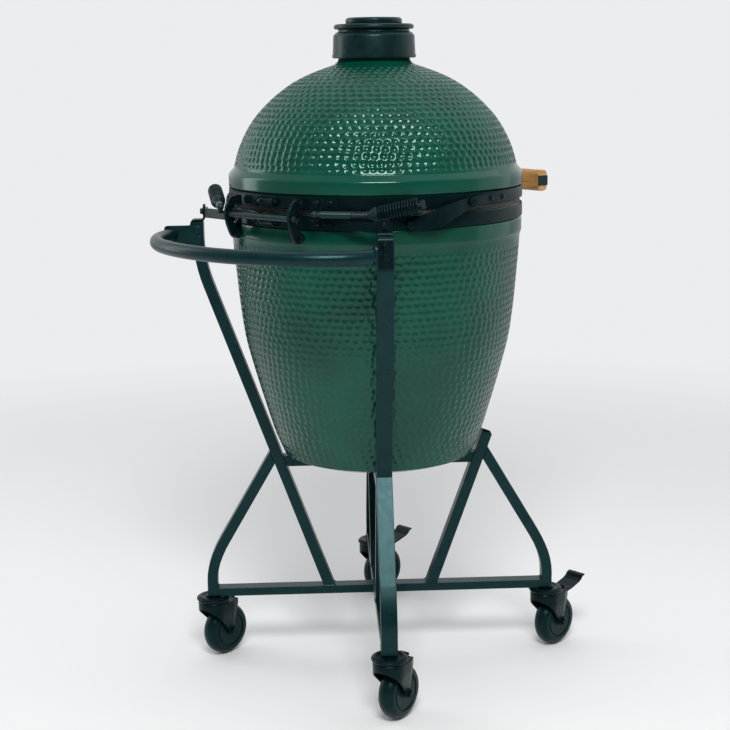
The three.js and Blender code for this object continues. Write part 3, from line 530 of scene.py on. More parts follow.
# ------------------------------------------------------------------ ceramic shells
DIMPLE_PITCH = 14.6      # distance between dimples
DIMPLE_R = 7.3
LID_DIMPLE = 2.3         # depth of the dimples of the lid
BASE_DIMPLE = 1.5        # and of the base
LID_PROFILE = [(262.3, 962), (253.2, 993), (240, 1022), (221.2, 1051), (201, 1073), (176.6, 1094.5),
               (144.5, 1116), (113, 1130.5), (90, 1139), (74, 1145), (67, 1150.5)]
BASE_PROFILE = [(181.5, 419.6), (195, 452), (215, 515.6), (233, 578.7), (248.6, 641), (257.2, 702.5),
                (262.8, 763), (266.4, 806), (268, 831)]
DRAFT_Z = (462, 518)
DRAFT_HALF = 48
COLUMNS = 1000


def smooth_curve(points, step):
    """Hermite curve through points, sampled at an even step."""
    p = np.array(points, float)
    chord = np.concatenate([[0], np.cumsum(np.linalg.norm(np.diff(p, axis=0), axis=1))])
    tangent = np.gradient(p, chord, axis=0)
    s = np.linspace(0, chord[-1], max(2, int(chord[-1] / step)))
    i = np.clip(np.searchsorted(chord, s, side="right") - 1, 0, len(p) - 2)
    h = (chord[i + 1] - chord[i])[:, None]
    t = ((s - chord[i]) / h[:, 0])[:, None]
    curve = (2 * t ** 3 - 3 * t ** 2 + 1) * p[i] + (t ** 3 - 2 * t ** 2 + t) * h * tangent[i]
    curve += (3 * t ** 2 - 2 * t ** 3) * p[i + 1] + (t ** 3 - t ** 2) * h * tangent[i + 1]
    return curve


def dimple_centres(curve, seed):
    """Staggered rows of dimples up a surface of revolution, each a little out of place."""
    rng = random.Random(seed)
    lengths = np.concatenate([[0], np.cumsum(np.linalg.norm(np.diff(curve, axis=0), axis=1))])
    row_gap = DIMPLE_PITCH * 0.87
    centres = []
    count = int(lengths[-1] / row_gap)
    for row in range(count + 1):
        s = (row + 0.5) * lengths[-1] / (count + 1)
        r = np.interp(s, lengths, curve[:, 0])
        z = np.interp(s, lengths, curve[:, 1])
        around = max(6, round(2 * math.pi * r / DIMPLE_PITCH))
        shift = 0.5 * (row % 2) + rng.uniform(-0.06, 0.06)
        for k in range(around):
            a = 2 * math.pi * (k + shift + rng.uniform(-0.07, 0.07)) / around
            rise = rng.uniform(-0.07, 0.07) * DIMPLE_PITCH
            size = rng.uniform(0.9, 1.1)
            centres.append((r * math.cos(a), r * math.sin(a), z + rise, size))
    return centres


def ceramic_shell(name, smooth_rows, curve, depth, fade, inner_rows, seed, opening=None):
    """Closed shell of revolution: smooth rim rows, dimpled body rows and an inner wall."""
    angles = 2 * np.pi * np.arange(COLUMNS) / COLUMNS
    rows = [(r, z, 0) for r, z in smooth_rows["before"]]
    rows += [(r, z, 1) for r, z in curve]
    rows += [(r, z, 0) for r, z in smooth_rows["after"]]
    rows += [(r, z, 0) for r, z in inner_rows]
    profile = np.array(rows, float)
    r = np.repeat(profile[:, 0][:, None], COLUMNS, axis=1)
    z = np.repeat(profile[:, 1][:, None], COLUMNS, axis=1)
    pts = np.stack([r * np.cos(angles), r * np.sin(angles), z], axis=-1)
    slope = np.gradient(profile[:, :2], axis=0)
    norm = np.stack([slope[:, 1], -slope[:, 0]], axis=1)
    norm /= np.linalg.norm(norm, axis=1)[:, None] + 1e-9
    if norm[len(smooth_rows["before"]) + len(curve) // 2, 0] < 0:
        norm = -norm
    centres = dimple_centres(curve, seed)
    tree = kdtree.KDTree(len(centres))
    for i, c in enumerate(centres):
        tree.insert(c[:3], i)
    tree.balance()
    body = np.nonzero(profile[:, 2] > 0)[0]
    lengths = np.concatenate([[0], np.cumsum(np.linalg.norm(np.diff(curve, axis=0), axis=1))])
    for n, row in enumerate(body):
        edge = min(lengths[n] / fade[0], (lengths[-1] - lengths[n]) / fade[1], 1.0)
        if edge <= 0:
            continue
        drop = np.zeros(COLUMNS)
        for c in range(COLUMNS):
            total = 0.0
            for _, index, dist in tree.find_n(pts[row, c], 2):
                u = dist / (DIMPLE_R * centres[index][3])
                if u < 1:
                    total = max(total, (1 - u * u) ** 1.25)
            drop[c] = total
        drop *= depth * edge * edge * (3 - 2 * edge)
        pts[row, :, 0] -= drop * norm[row, 0] * np.cos(angles)
        pts[row, :, 1] -= drop * norm[row, 0] * np.sin(angles)
        pts[row, :, 2] -= drop * norm[row, 1]
    keep = np.ones((len(rows), COLUMNS), bool)
    if opening:
        half, z_low, z_high = opening
        middle = int(COLUMNS * 0.75)
        reach = round(COLUMNS * math.asin(half / 207) / (2 * math.pi))
        for row in range(len(rows)):
            if z_low - 6 < profile[row, 1] < z_high + 6 and profile[row, 0] > 100:
                for k in (middle - reach, middle + reach):
                    pts[row, k, 0] = math.copysign(half, k - middle)
                    pts[row, k, 1] = -math.sqrt(profile[row, 0] ** 2 - half ** 2)
            if z_low <= profile[row, 1] < z_high and profile[row, 0] > 100:
                keep[row, middle - reach:middle + reach] = False
    n = len(rows)
    index = np.arange(n * COLUMNS).reshape(n, COLUMNS)
    following = np.roll(index, -1, axis=1)
    nxt = np.roll(index, -1, axis=0)
    nxt_following = np.roll(following, -1, axis=0)
    quads = np.stack([index, following, nxt_following, nxt], axis=-1)
    quads = quads[keep]
    verts = to_row(pts.reshape(-1, 3))
    mesh = bpy.data.meshes.new(name)
    mesh.vertices.add(len(verts))
    mesh.vertices.foreach_set("co", verts.astype(np.float32).ravel())
    mesh.loops.add(len(quads) * 4)
    mesh.loops.foreach_set("vertex_index", quads.astype(np.int32).ravel())
    mesh.polygons.add(len(quads))
    mesh.polygons.foreach_set("loop_start", np.arange(0, len(quads) * 4, 4, dtype=np.int32))
    mesh.update(calc_edges=True)
    mesh.validate()
    bm = bmesh.new()
    bm.from_mesh(mesh)
    bmesh.ops.recalc_face_normals(bm, faces=bm.faces)
    bm.to_mesh(mesh)
    bm.free()
    mesh.materials.append(GLAZE)
    return mesh


def lid_mesh():
    rim = fillet([(246.4, 902), (BAND_SEAT_R, 902), (BAND_SEAT_R, 926), (RIM_R, 927.5), (RIM_R, 949.5),
                  (262.6, 960.5), (262.3, 962)], 2.6, 5, closed=False)
    curve = smooth_curve(LID_PROFILE, 1.55)
    neck = [(65.5, 1156), (65.5, 1188), (64, 1190), (51, 1190), (49, 1188)]
    inner = smooth_curve([(50, 1134), (110, 1108), (164, 1076), (204, 1035), (231, 983), (246, 906)], 12)
    smooth_rows = {"before": rim[1:-1], "after": neck}
    return ceramic_shell("lid_shell", smooth_rows, curve, LID_DIMPLE, (9, 26), inner, 11)


def base_mesh():
    foot = fillet([(0.5, 408), (150, 408), (181.5, 419.6)], 10, 5, closed=False)[:-1]
    curve = smooth_curve(BASE_PROFILE, 1.6)
    rim = fillet([(268, 831), (269.5, 838), (RIM_R - 1.2, 842), (RIM_R - 1.2, 866), (BAND_SEAT_R, 868.8),
                  (BAND_SEAT_R, 893.5), (246.4, 893.5)], 2.6, 5, closed=False)[1:]
    inner = smooth_curve([(246, 890), (240, 752), (229, 661), (206, 567), (188, 518)], 12)
    low_wall = [(186, 511), (183, 500), (178, 480), (172, 464), (170, 461), (158, 440), (146, 434),
                (0.5, 433)]
    return ceramic_shell("base_shell", {"before": foot, "after": rim}, curve, BASE_DIMPLE, (14, 16),
                         np.concatenate([inner, low_wall]), 29, (DRAFT_HALF, *DRAFT_Z))


settle(lid_mesh(), "lid_shell", BODY["lid"], ("lid",), "glaze", 0, 40)
settle(base_mesh(), "base_shell", BODY["base"], ("base",), "glaze", 0, 40)


def draft_sleeve():
    """Four walls of the air opening, between the outer and the inner face of the base."""
    s = Shape()
    for side in (-1, 1):
        x = side * DRAFT_HALF
        s.block((min(x, x + side * 2), -207, DRAFT_Z[0] - 2), (max(x, x + side * 2), -172, DRAFT_Z[1] + 2))
    s.block((-DRAFT_HALF, -196, DRAFT_Z[0] - 2), (DRAFT_HALF, -165, DRAFT_Z[0]))
    s.block((-DRAFT_HALF, -212, DRAFT_Z[1]), (DRAFT_HALF, -184, DRAFT_Z[1] + 2))
    finish_piece(s, "draft_sleeve", GLAZE, BODY["base"], (), "glaze", 0.4)


draft_sleeve()


# ------------------------------------------------------------------ gaskets and bands
def gasket(name, z0, z1):
    s = Shape()
    s.lathe(fillet([(BAND_SEAT_R - 21, z0), (BAND_SEAT_R - 0.6, z0), (BAND_SEAT_R - 0.6, z1),
                    (BAND_SEAT_R - 21, z1)], 1.2, 3), 220)
    swap(s, name + "_felt", FELT, name)


gasket("gasket_lower", SEAM_Z - 3.9, SEAM_Z - 0.1)
gasket("gasket_upper", SEAM_Z + 0.2, SEAM_Z + 4)


def band(name, zs):
    s = Shape()
    inner, outer = RIM_R - 3.6, RIM_R
    s.lathe(fillet([(inner, zs[0]), (outer, zs[0]), (outer, zs[1]), (inner, zs[1])], 0.9, 3), 240)
    middle = (zs[0] + zs[1]) / 2
    for side in (-1, 1):
        lug = fillet([(-RIM_R - 16, zs[0] + 1), (-RIM_R + 1, zs[0] + 1), (-RIM_R + 1, zs[1] - 1),
                      (-RIM_R - 16, zs[1] - 1)], 5, 5)
        flat = Matrix(((0, 0, 1, 0), (1, 0, 0, 0), (0, 1, 0, 0), (0, 0, 0, 1)))
        s.prism(lug, side * 5 - 1.6, side * 5 + 1.6, flat)
    s.tube([(-14, -RIM_R - 9, middle), (14, -RIM_R - 9, middle)], 3, 20)
    s.bolt((-6.6, -RIM_R - 9, middle), (-1, 0, 0), 5.5, 4.5)
    s.bolt((6.6, -RIM_R - 9, middle), (1, 0, 0), 5.5, 4.5)
    swap(s, name + "_ring", BAND, name)


band("upper_band", UPPER_BAND)
band("lower_band", LOWER_BAND)


# ------------------------------------------------------------------ thermometer
def thermometer():
    tilt = math.radians(29)
    outward = Vector((0, -math.cos(tilt), math.sin(tilt)))
    m = aligned((0, -240, 1022), outward)
    upright = Matrix.Rotation(math.pi / 2, 4, "Z")
    case = Shape()
    case.lathe([(0, 9), (33, 9), (36, 11), (36, 13.4), (38, 14.4), (38, 22.6), (36.8, 24), (35, 24),
                (34, 22.8), (34, 21), (0, 21)], 96, m)
    case.lathe([(0, -62), (3.4, -58), (4, -50), (4, 9.5), (0, 9.5)], 24, m)
    case.lathe([(0, -12), (9, -12), (9, -8), (12, 0), (12, 9.2), (0, 9.2)], 6, m)
    swap(case, "thermometer_case", STEEL, "thermometer", 0.2)
    face = Shape()
    face.lathe([(0, 20.9), (33.8, 20.9), (33.8, 21.5), (0, 21.5)], 96, m)
    finish_piece(face, "thermometer_face", FACE, BODY["thermometer"], (), "steel")
    marks = Shape()
    ticks = 40
    for i in range(ticks + 1):
        deg = -135 + 270 * i / ticks
        long = 6 if i % 5 == 0 else 3.2
        wide = 0.5 if i % 5 == 0 else 0.28
        placed = m @ upright @ Matrix.Rotation(math.radians(deg), 4, "Z")
        marks.block((-wide, 31 - long, 21.4), (wide, 31, 21.75), placed)
    marks.lathe([(31.4, 21.4), (31.9, 21.4), (31.9, 21.7), (31.4, 21.7)], 72, m)
    finish_piece(marks, "thermometer_marks", INK, BODY["thermometer"], (), "steel")
    needle = Shape()
    swing = m @ upright @ Matrix.Rotation(math.radians(118), 4, "Z")
    needle.prism([(-1.3, -7), (1.3, -7), (0.9, 12), (0.25, 25), (-0.25, 25), (-0.9, 12)], 21.9, 22.4, swing)
    needle.lathe([(0, 21.4), (3, 21.4), (3, 22.8), (2, 23.2), (0, 23.2)], 32, m)
    finish_piece(needle, "thermometer_needle", RED, BODY["thermometer"], (), "steel")


thermometer()


# ------------------------------------------------------------------ inside the egg
def fire_ring():
    s = Shape()
    s.lathe(fillet([(195, 650.3), (217, 650.3), (231, 720), (234, 792), (212, 792), (209, 720)], 3, 3), 160)
    swap(s, "fire_ring_clay", CLAY, "fire_ring")


def cooking_grid():
    s = Shape()
    radius, z = 229, 792.3
    ring_r = radius - 3.5
    ring = [(ring_r * math.cos(2 * math.pi * k / 140), ring_r * math.sin(2 * math.pi * k / 140), z + 3.5)
            for k in range(140)]
    s.tube(ring, 3.5, 14, closed=True)
    rods = 21
    for i in range(rods):
        x = (i - (rods - 1) / 2) * 20.6
        half = math.sqrt((radius - 4) ** 2 - x * x)
        s.tube([(x, -half, z + 4.2), (x, 0, z + 4.4), (x, half, z + 4.2)], 2.2, 12)
    for y in (-90, 90):
        half = math.sqrt((radius - 4) ** 2 - y * y)
        s.tube([(-half, y, z + 2.6), (half, y, z + 2.6)], 2.6, 12)
    for side in (-1, 1):
        x = side * 40
        s.tube([(x, side * 150, z + 6), (x, side * 152, z + 6), (x, side * 178, z + 6)], 2.2, 10)
    swap(s, "cooking_grid_rods", STEEL, "cooking_grid")


fire_ring()
cooking_grid()
dressed("fire_box", CLAY, 1.6)
dressed("fire_grate", GRATE, 1.0)


# ------------------------------------------------------------------ chimney cap
def cut(obj, cutter):
    """Cut one piece's mesh by another's and drop the cutter."""
    mod = obj.modifiers.new("cut", "BOOLEAN")
    mod.object = cutter
    mod.operation = "DIFFERENCE"
    mod.solver = "EXACT"
    graph = bpy.context.evaluated_depsgraph_get()
    mesh = bpy.data.meshes.new_from_object(obj.evaluated_get(graph))
    obj.modifiers.remove(mod)
    old = obj.data
    obj.data = mesh
    bpy.data.meshes.remove(old)
    tool = cutter.data
    bpy.data.objects.remove(cutter)
    bpy.data.meshes.remove(tool)


def raw_object(shape, name):
    mesh = bpy.data.meshes.new(name)
    mesh.from_pydata([tuple(v) for v in to_row(shape.verts)], [], shape.faces)
    bm = bmesh.new()
    bm.from_mesh(mesh)
    bmesh.ops.remove_doubles(bm, verts=bm.verts, dist=1e-7)
    bmesh.ops.recalc_face_normals(bm, faces=bm.faces)
    bm.to_mesh(mesh)
    bm.free()
    obj = bpy.data.objects.new(name, mesh)
    bpy.context.scene.collection.objects.link(obj)
    return obj


VENTS = 5


def mesh_of(obj, material):
    """Mesh of a working object, which is then removed."""
    mesh = obj.data
    bpy.data.objects.remove(obj)
    one_material(mesh, material)
    return mesh


def vented(name, outline, start, node_name, extra=None):
    """A lathed disc with the five vent holes, standing for a CAD node."""
    s = Shape()
    s.lathe(outline, 120)
    if extra:
        extra(s)
    disc = raw_object(s, name)
    holes = Shape()
    for i in range(VENTS):
        holes.lathe([(0, 1190), (9, 1190), (9, 1240), (0, 1240)], 40,
                    turn(start + 360 * i / VENTS) @ Matrix.Translation((27, 0, 0)))
    cut(disc, raw_object(holes, name + "_holes"))
    settle(mesh_of(disc, IRON), name, BODY[node_name], (node_name,), "cap_iron", 0.7, 34)


def cap():
    collar = Shape()
    outline = fillet([(66.8, 1157.3), (76.3, 1155.3), (74.4, 1196), (69, 1202), (65.5, 1202), (65.5, 1206.9),
                      (50, 1206.9), (50, 1194), (66.8, 1194)], 1.6, 3)
    collar.lathe(outline, 140)
    collar.lathe([(75.2, 1157), (77.1, 1157.6), (77.1, 1161.4), (75.2, 1162)], 140)
    pin = [(0, 1200), (3, 1200), (3, 1214.6), (2.2, 1215), (0, 1215)]
    collar.lathe(pin, 20, Matrix.Translation((58, 0, 0)))
    swap(collar, "cap_collar_body", IRON, "cap_collar")
    plate = fillet([(0.4, 1207.2), (71, 1207.2), (73.3, 1209.7), (73.3, 1213.2), (70.5, 1216.2),
                    (0.4, 1216.2)], 1.4, 3)
    vented("cap_lid_plate", plate, 0, "cap_lid")
    dial = fillet([(0.4, 1216.6), (50.5, 1216.6), (51.8, 1218.6), (51.8, 1224.5), (48, 1227.9), (40, 1226),
                   (9, 1226), (6.5, 1228.5), (0.4, 1228.5)], 1.0, 3)
    vented("cap_dial_plate", dial, 180 / VENTS, "cap_dial")


cap()


# ------------------------------------------------------------------ draft door
def draft_parts():
    dressed("draft_frame", STEEL, 0.5)
    dressed("draft_door", STEEL, 0.4)
    dressed("draft_screen", STEEL, 0.2)


draft_parts()


# ------------------------------------------------------------------ lid handle
HANDLE_Z = 916.5
HANDLE_HALF = 141


def handle_arc(steps, reach=1.0, inward=0.0):
    pts = []
    for i in range(steps + 1):
        u = reach * (-1 + 2 * i / steps)
        pts.append((HANDLE_HALF * u, -347 + 14 * u * u + inward, HANDLE_Z))
    return pts


def lid_handle():
    wood = Shape()
    section = fillet([(-20.5, -12.5), (20.5, -12.5), (20.5, 12.5), (-20.5, 12.5)], 9.5, 8)
    wood.sweep(handle_arc(48), section, flat=(0, 0, 1))
    swap(wood, "lid_handle_wood", WOOD, "lid_handle", 3.0, 50)
    metal = Shape()
    strip = fillet([(-9.5, -2), (9.5, -2), (9.5, 2), (-9.5, 2)], 0.7, 2)
    metal.sweep(handle_arc(48, 1.004), strip, flat=(0, 0, 1))
    wrap = fillet([(-9.5, -12.1), (9.5, -12.1), (9.5, 12.1), (-9.5, 12.1)], 0.7, 2)
    arc = [Vector(p) for p in handle_arc(48)]
    for tip, before in ((arc[-1], arc[-2]), (arc[0], arc[1])):
        outward = (tip - before).normalized()
        metal.sweep([tip - outward * 0.6, tip + outward * 0.5, tip + outward * 1.6], wrap, flat=(0, 0, 1))
    for x in (-80, 80):
        seat = -math.sqrt(RIM_R ** 2 - x * x)
        metal.tube([(x, -336, HANDLE_Z), (x, seat - 3, HANDLE_Z)], 6, 32)
        metal.tube([(x, -334, HANDLE_Z), (x, -330.5, HANDLE_Z)], 9.5, 32)
        deg = math.degrees(math.atan2(seat, x))
        pad = fillet([(-17, -9), (17, -9), (17, 7.5), (-17, 7.5)], 3, 4)
        metal.prism(pad, 0.6, 5.4, aligned_out(deg, RIM_R, HANDLE_Z))
        for side in (-1, 1):
            a = math.radians(deg + side * 2.7)
            at = ((RIM_R + 5.4) * math.cos(a), (RIM_R + 5.4) * math.sin(a), HANDLE_Z - 1)
            metal.bolt(at, (math.cos(a), math.sin(a), 0), 3.6, 3.2, washer=False)
    swap(metal, "lid_handle_metal", STRIP, "lid_handle_bracket", 0.4)


def aligned_out(deg, r, z):
    """Matrix with local Z pointing out from the egg axis, local X tangent and local Y up."""
    a = math.radians(deg)
    out = Vector((math.cos(a), math.sin(a), 0))
    up = Vector((0, 0, 1))
    side = up.cross(out)
    m = Matrix((side, up, out)).transposed().to_4x4()
    m.translation = out * r + up * z
    return m


lid_handle()


# ------------------------------------------------------------------ hinge
MID_UPPER = sum(UPPER_BAND) / 2
MID_LOWER = sum(LOWER_BAND) / 2
PLATE_R = (RIM_R + 0.6, RIM_R + 5)
EAR_OUT = HINGE_X - 3.5


def curved_plate(shape, r0, r1, z0, z1, deg0, deg1, corner=3.0, steps=40):
    """Rounded plate lying on a band between two angles."""
    stations = []
    end = corner / r1 * 180 / math.pi
    for k in range(5):
        u = k / 4
        inset = corner * (1 - math.sin(math.acos(1 - u)))
        stations.append((deg0 + end * u, r0, (z0 + z1) / 2, (z1 - z0) / 2 - inset))
    mirrored = [(deg0 + deg1 - d, r, z, h) for d, r, z, h in reversed(stations)]
    inner = [(deg0 + end + (deg1 - deg0 - 2 * end) * k / steps, r0, (z0 + z1) / 2, (z1 - z0) / 2)
             for k in range(1, steps)]
    shape.ribbon(stations + inner + mirrored, r1 - r0)


def radial(deg, r, z):
    a = math.radians(deg)
    return (r * math.cos(a), r * math.sin(a), z), (math.cos(a), math.sin(a), 0)


def clamp_barrel(shape, z):
    """Barrel nut that draws the two ends of a band together, between the hinge plates."""
    y = PLATE_R[1] + 5.2
    for side in (-1, 1):
        lug = fillet([(-1, z - 7.5), (9.5, z - 7.5), (11.5, z), (9.5, z + 7.5), (-1, z + 7.5)], 2.5, 4)
        shape.prism([(PLATE_R[1] + a, b) for a, b in lug], -1.6, 1.6, side_plane(side * 19))
    m = aligned((0, y, z), (1, 0, 0))
    barrel = [(0, -17), (5.2, -17), (5.8, -16.4), (5.8, 6), (6.4, 7), (6.4, 13), (5.8, 14), (5.8, 17),
              (0, 17)]
    shape.lathe(barrel, 40, m)
    shape.lathe([(0, -28), (2.9, -28), (3.4, -27.4), (3.4, 24), (0, 24)], 24, m)
    shape.bolt((20.6, y, z), (1, 0, 0), 5.6, 4.2)
    shape.bolt((-20.6, y, z), (-1, 0, 0), 5.6, 4.2)


def side_plane(x):
    """Matrix for an outline drawn in the (y, z) plane at one x."""
    return Matrix(((0, 0, 1, x), (1, 0, 0, 0), (0, 1, 0, 0), (0, 0, 0, 1)))


def hinge_lower():
    s = Shape()
    curved_plate(s, *PLATE_R, LOWER_BAND[0] + 1, LOWER_BAND[1] - 0.5, 61, 119)
    for deg in (68.8, 111.2):
        at, out = radial(deg, PLATE_R[1], MID_LOWER)
        s.dome(at, out, 6.2, 4.4)
    for deg in (65.6, 114.4):
        at, out = radial(deg, PLATE_R[1], MID_LOWER)
        s.dome(at, out, 4.6, 3)
    clamp_barrel(s, MID_LOWER)
    ear = fillet([(272.5, 889), (276, 889), (292, 866), (292, 850), (283, 844), (274, 850), (274, 871)], 4, 4)
    for side in (-1, 1):
        x = side * (EAR_OUT - 2)
        s.prism(ear, -2, 2, side_plane(x))
        s.tube([(side * (EAR_OUT - 8), *HINGE), (side * (HINGE_X + 6), *HINGE)], 3.5, 24)
        s.bolt((side * (HINGE_X + 3.2), *HINGE), (side, 0, 0), 7, 5.4)
        s.bolt((side * (EAR_OUT - 4), *HINGE), (-side, 0, 0), 6, 4)
        lug = fillet([(side * 107, 250), (side * 122, 242), (side * 127, 288), (side * 110, 290)], 4, 4)
        s.prism(lug, 887.3, 890.2)
        s.lathe([(0, 0), (5.4, 0), (5.4, 2), (3.6, 2.6), (3.6, 3.4), (0, 3.4)], 32,
                Matrix.Translation((side * 118, 282, 888)))
    swap(s, "hinge_lower_metal", BLACK, "hinge_lower_bracket", 0.35)


def hinge_upper():
    s = Shape()
    curved_plate(s, *PLATE_R, UPPER_BAND[0] + 0.5, UPPER_BAND[1] - 1, 61, 119)
    for deg in (63.6, 68.8, 111.2, 116.4):
        at, out = radial(deg, PLATE_R[1], MID_UPPER)
        s.dome(at, out, 5.9, 4.4)
    clamp_barrel(s, MID_UPPER)
    for side in (-1, 1):
        x = side * (EAR_OUT - 2)
        tab = fillet([(272, 904), (286, 904), (287, 922), (272, 922)], 4, 4)
        s.prism(tab, -2, 2, side_plane(x))
        s.tube([(side * (EAR_OUT - 5), 279, 913), (side * (HINGE_X + 8), 279, 913)], 3, 20)
        s.bolt((side * (HINGE_X + 3.2), 279, 913), (side, 0, 0), 6.5, 5)
    swap(s, "hinge_upper_metal", BLACK, "hinge_upper_bracket", 0.35)


C_OUTLINE = [(272, 916), (277, 923), (289, 921), (298, 914), (305, 903), (307, 888), (304, 873), (298, 858),
             (293, 849), (285, 845), (276, 848), (273, 856), (277, 864), (288, 874), (292, 886), (290, 898),
             (283, 905), (273, 908)]


def hinge_plate(name, side):
    s = Shape()
    outline = fillet(C_OUTLINE, 4, 4)
    s.prism(outline, -3, 3, side_plane(side * HINGE_X))
    disc = raw_object(s, name + "_metal")
    holes = Shape()
    for y, z, r in ((HINGE[0], HINGE[1], 3.9), (279, 913, 3.4), (298, 889, 4.4)):
        holes.lathe([(0, -20), (r, -20), (r, 20), (0, 20)], 28, aligned((side * HINGE_X, y, z), (1, 0, 0)))
    cut(disc, raw_object(holes, name + "_holes"))
    settle(mesh_of(disc, BLACK), name + "_metal", BODY[name], (name,), SLOT[name], 0.9, 34)


def hinge_cross():
    s = Shape()
    reach = HINGE_X + 7
    s.tube([(-reach, 298, 889), (reach, 298, 889)], 4, 32)
    s.tube([(-HINGE_X + 3.4, 298, 889), (HINGE_X - 3.4, 298, 889)], 5.2, 40)
    for side in (-1, 1):
        s.lathe([(0, 0), (4.6, 0), (5.4, 1), (5.4, 3), (4.2, 4), (0, 4)], 32,
                aligned((side * (HINGE_X + 3.2), 298, 889), (side, 0, 0)))
    swap(s, "hinge_cross_bar", STRIP, "hinge_cross_tube", 0.3)


hinge_lower()
hinge_upper()
hinge_plate("hinge_plate_right", 1)
hinge_plate("hinge_plate_left", -1)
hinge_cross()


# ------------------------------------------------------------------ springs and side arms
SPRING_IN = Vector((118, 282, 898))
SPRING_KNEE = Vector((190, 222, 896))
SPRING_OUT = Vector((264, 166, 915))
COIL = (13.5, 87)


def mirror_x(shape):
    shape.verts = [(-x, y, z) for x, y, z in shape.verts]
    shape.faces = [tuple(reversed(f)) for f in shape.faces]
    return shape


def spring(name, rod_name, side):
    on_rod = aligned(SPRING_IN, SPRING_KNEE - SPRING_IN)
    on_coil = aligned(SPRING_KNEE, SPRING_OUT - SPRING_KNEE)
    end = (SPRING_OUT - SPRING_KNEE).length
    coil = Shape()
    turns, wire, radius = 14, 2.25, 11.6
    path = []
    for i in range(turns * 24 + 1):
        a = 2 * math.pi * i / 24
        z = COIL[0] + wire + (COIL[1] - COIL[0] - 2 * wire) * i / (turns * 24)
        path.append(on_coil @ Vector((radius * math.cos(a), radius * math.sin(a), z)))
    coil.tube(path, wire, 12)
    rod = Shape()
    rod.tube([SPRING_IN, SPRING_KNEE, SPRING_OUT], 4.6, 32)
    rod.lathe([(0, 9), (5.6, 9), (6.4, 10), (6.4, 61), (5.6, 62), (0, 62)], 32, on_rod)
    seat = [(0, -5), (5, -5), (5.8, -3.6), (11.8, 6), (12.6, 7.6), (12.6, 12), (11.8, 13.2), (0, 13.2)]
    rod.lathe(seat, 48, on_coil)
    rod.lathe([(0, 87.3), (8.6, 87.3), (9, 88), (9, end - 1.2), (8.2, end - 0.3), (0, end - 0.3)], 6, on_coil)
    ball = [(6.4 * math.sin(math.pi * k / 16), -6.4 * math.cos(math.pi * k / 16)) for k in range(17)]
    rod.lathe(ball, 32, Matrix.Translation(SPRING_IN))
    if side < 0:
        mirror_x(coil)
        mirror_x(rod)
    swap(coil, name + "_coil", BLACK, name)
    swap(rod, rod_name + "_metal", STRIP, rod_name, 0.2)


ARM_PATH = [(36.4, 276, 876.5, 8), (34.5, 282, 877.5, 9.5), (31, 287.5, 882, 13.5), (26, 291, 890, 15.5),
            (20, 285.5, 899, 14), (14, 279, 907.5, 10.5), (9, 277.4, 912, 8.6), (2, 273.2, 914, 8.6),
            (-4, 273.2, 914.2, 8.6), (-9, 273.2, 914.2, 7.6), (-10, 273.2, 914.2, 5)]


def spring_arm(name, side):
    s = Shape()
    stations = np.array(ARM_PATH)
    t = np.arange(len(stations))
    fine = np.linspace(0, len(stations) - 1, 61)
    tangent = np.gradient(stations, t, axis=0)
    rows = []
    for f in fine:
        i = min(int(f), len(stations) - 2)
        u = f - i
        h = (2 * u ** 3 - 3 * u ** 2 + 1) * stations[i] + (u ** 3 - 2 * u ** 2 + u) * tangent[i]
        h += (3 * u ** 2 - 2 * u ** 3) * stations[i + 1] + (u ** 3 - u ** 2) * tangent[i + 1]
        rows.append((h[0], max(h[1], 273.2), h[2], h[3]))
    s.ribbon(rows, 4)
    head = [(0, 0), (7.4, 0), (7.4, 4.6), (6.8, 5.4), (3.6, 5.4), (3.2, 4), (0, 4)]
    for place in ((11.5, 281, 911), (35.6, 282.5, 877.5)):
        at, out = radial(*place)
        s.lathe(head, 40, aligned(at, out))
    for deg in (-6, 1):
        at, out = radial(deg, 277, 914.2)
        s.dome(at, out, 5.2, 3.6)
    if side < 0:
        mirror_x(s)
    swap(s, name + "_metal", BLACK, name, 0.5)


for which, sign in (("right", 1), ("left", -1)):
    spring("spring_" + which, "spring_rod_" + which, sign)
    spring_arm("spring_arm_" + which, sign)


# ------------------------------------------------------------------ stand
def weld(shape, points, radius=2.0):
    """Rippled weld bead along a line of points."""
    path = []
    for a, b in zip(points, points[1:]):
        a, b = Vector(a), Vector(b)
        steps = max(2, int((b - a).length / 1.6))
        path += [a.lerp(b, k / steps) for k in range(steps)]
    path.append(Vector(points[-1]))
    n = len(shape.verts)
    shape.tube(path, radius, 8)
    sides = 8
    for i, p in enumerate(path):
        swell = 1 + 0.14 * math.sin(i * 2.4)
        for k in range(sides):
            v = Vector(shape.verts[n + i * sides + k])
            shape.verts[n + i * sides + k] = tuple(p + (v - p) * swell)


def t_at(z):
    return LEG_FOOT_T + (z - BAR_LOW[1]) * LEG_SLOPE


def leg_matrix(deg):
    return Matrix.Rotation(math.radians(deg), 4, "Z")


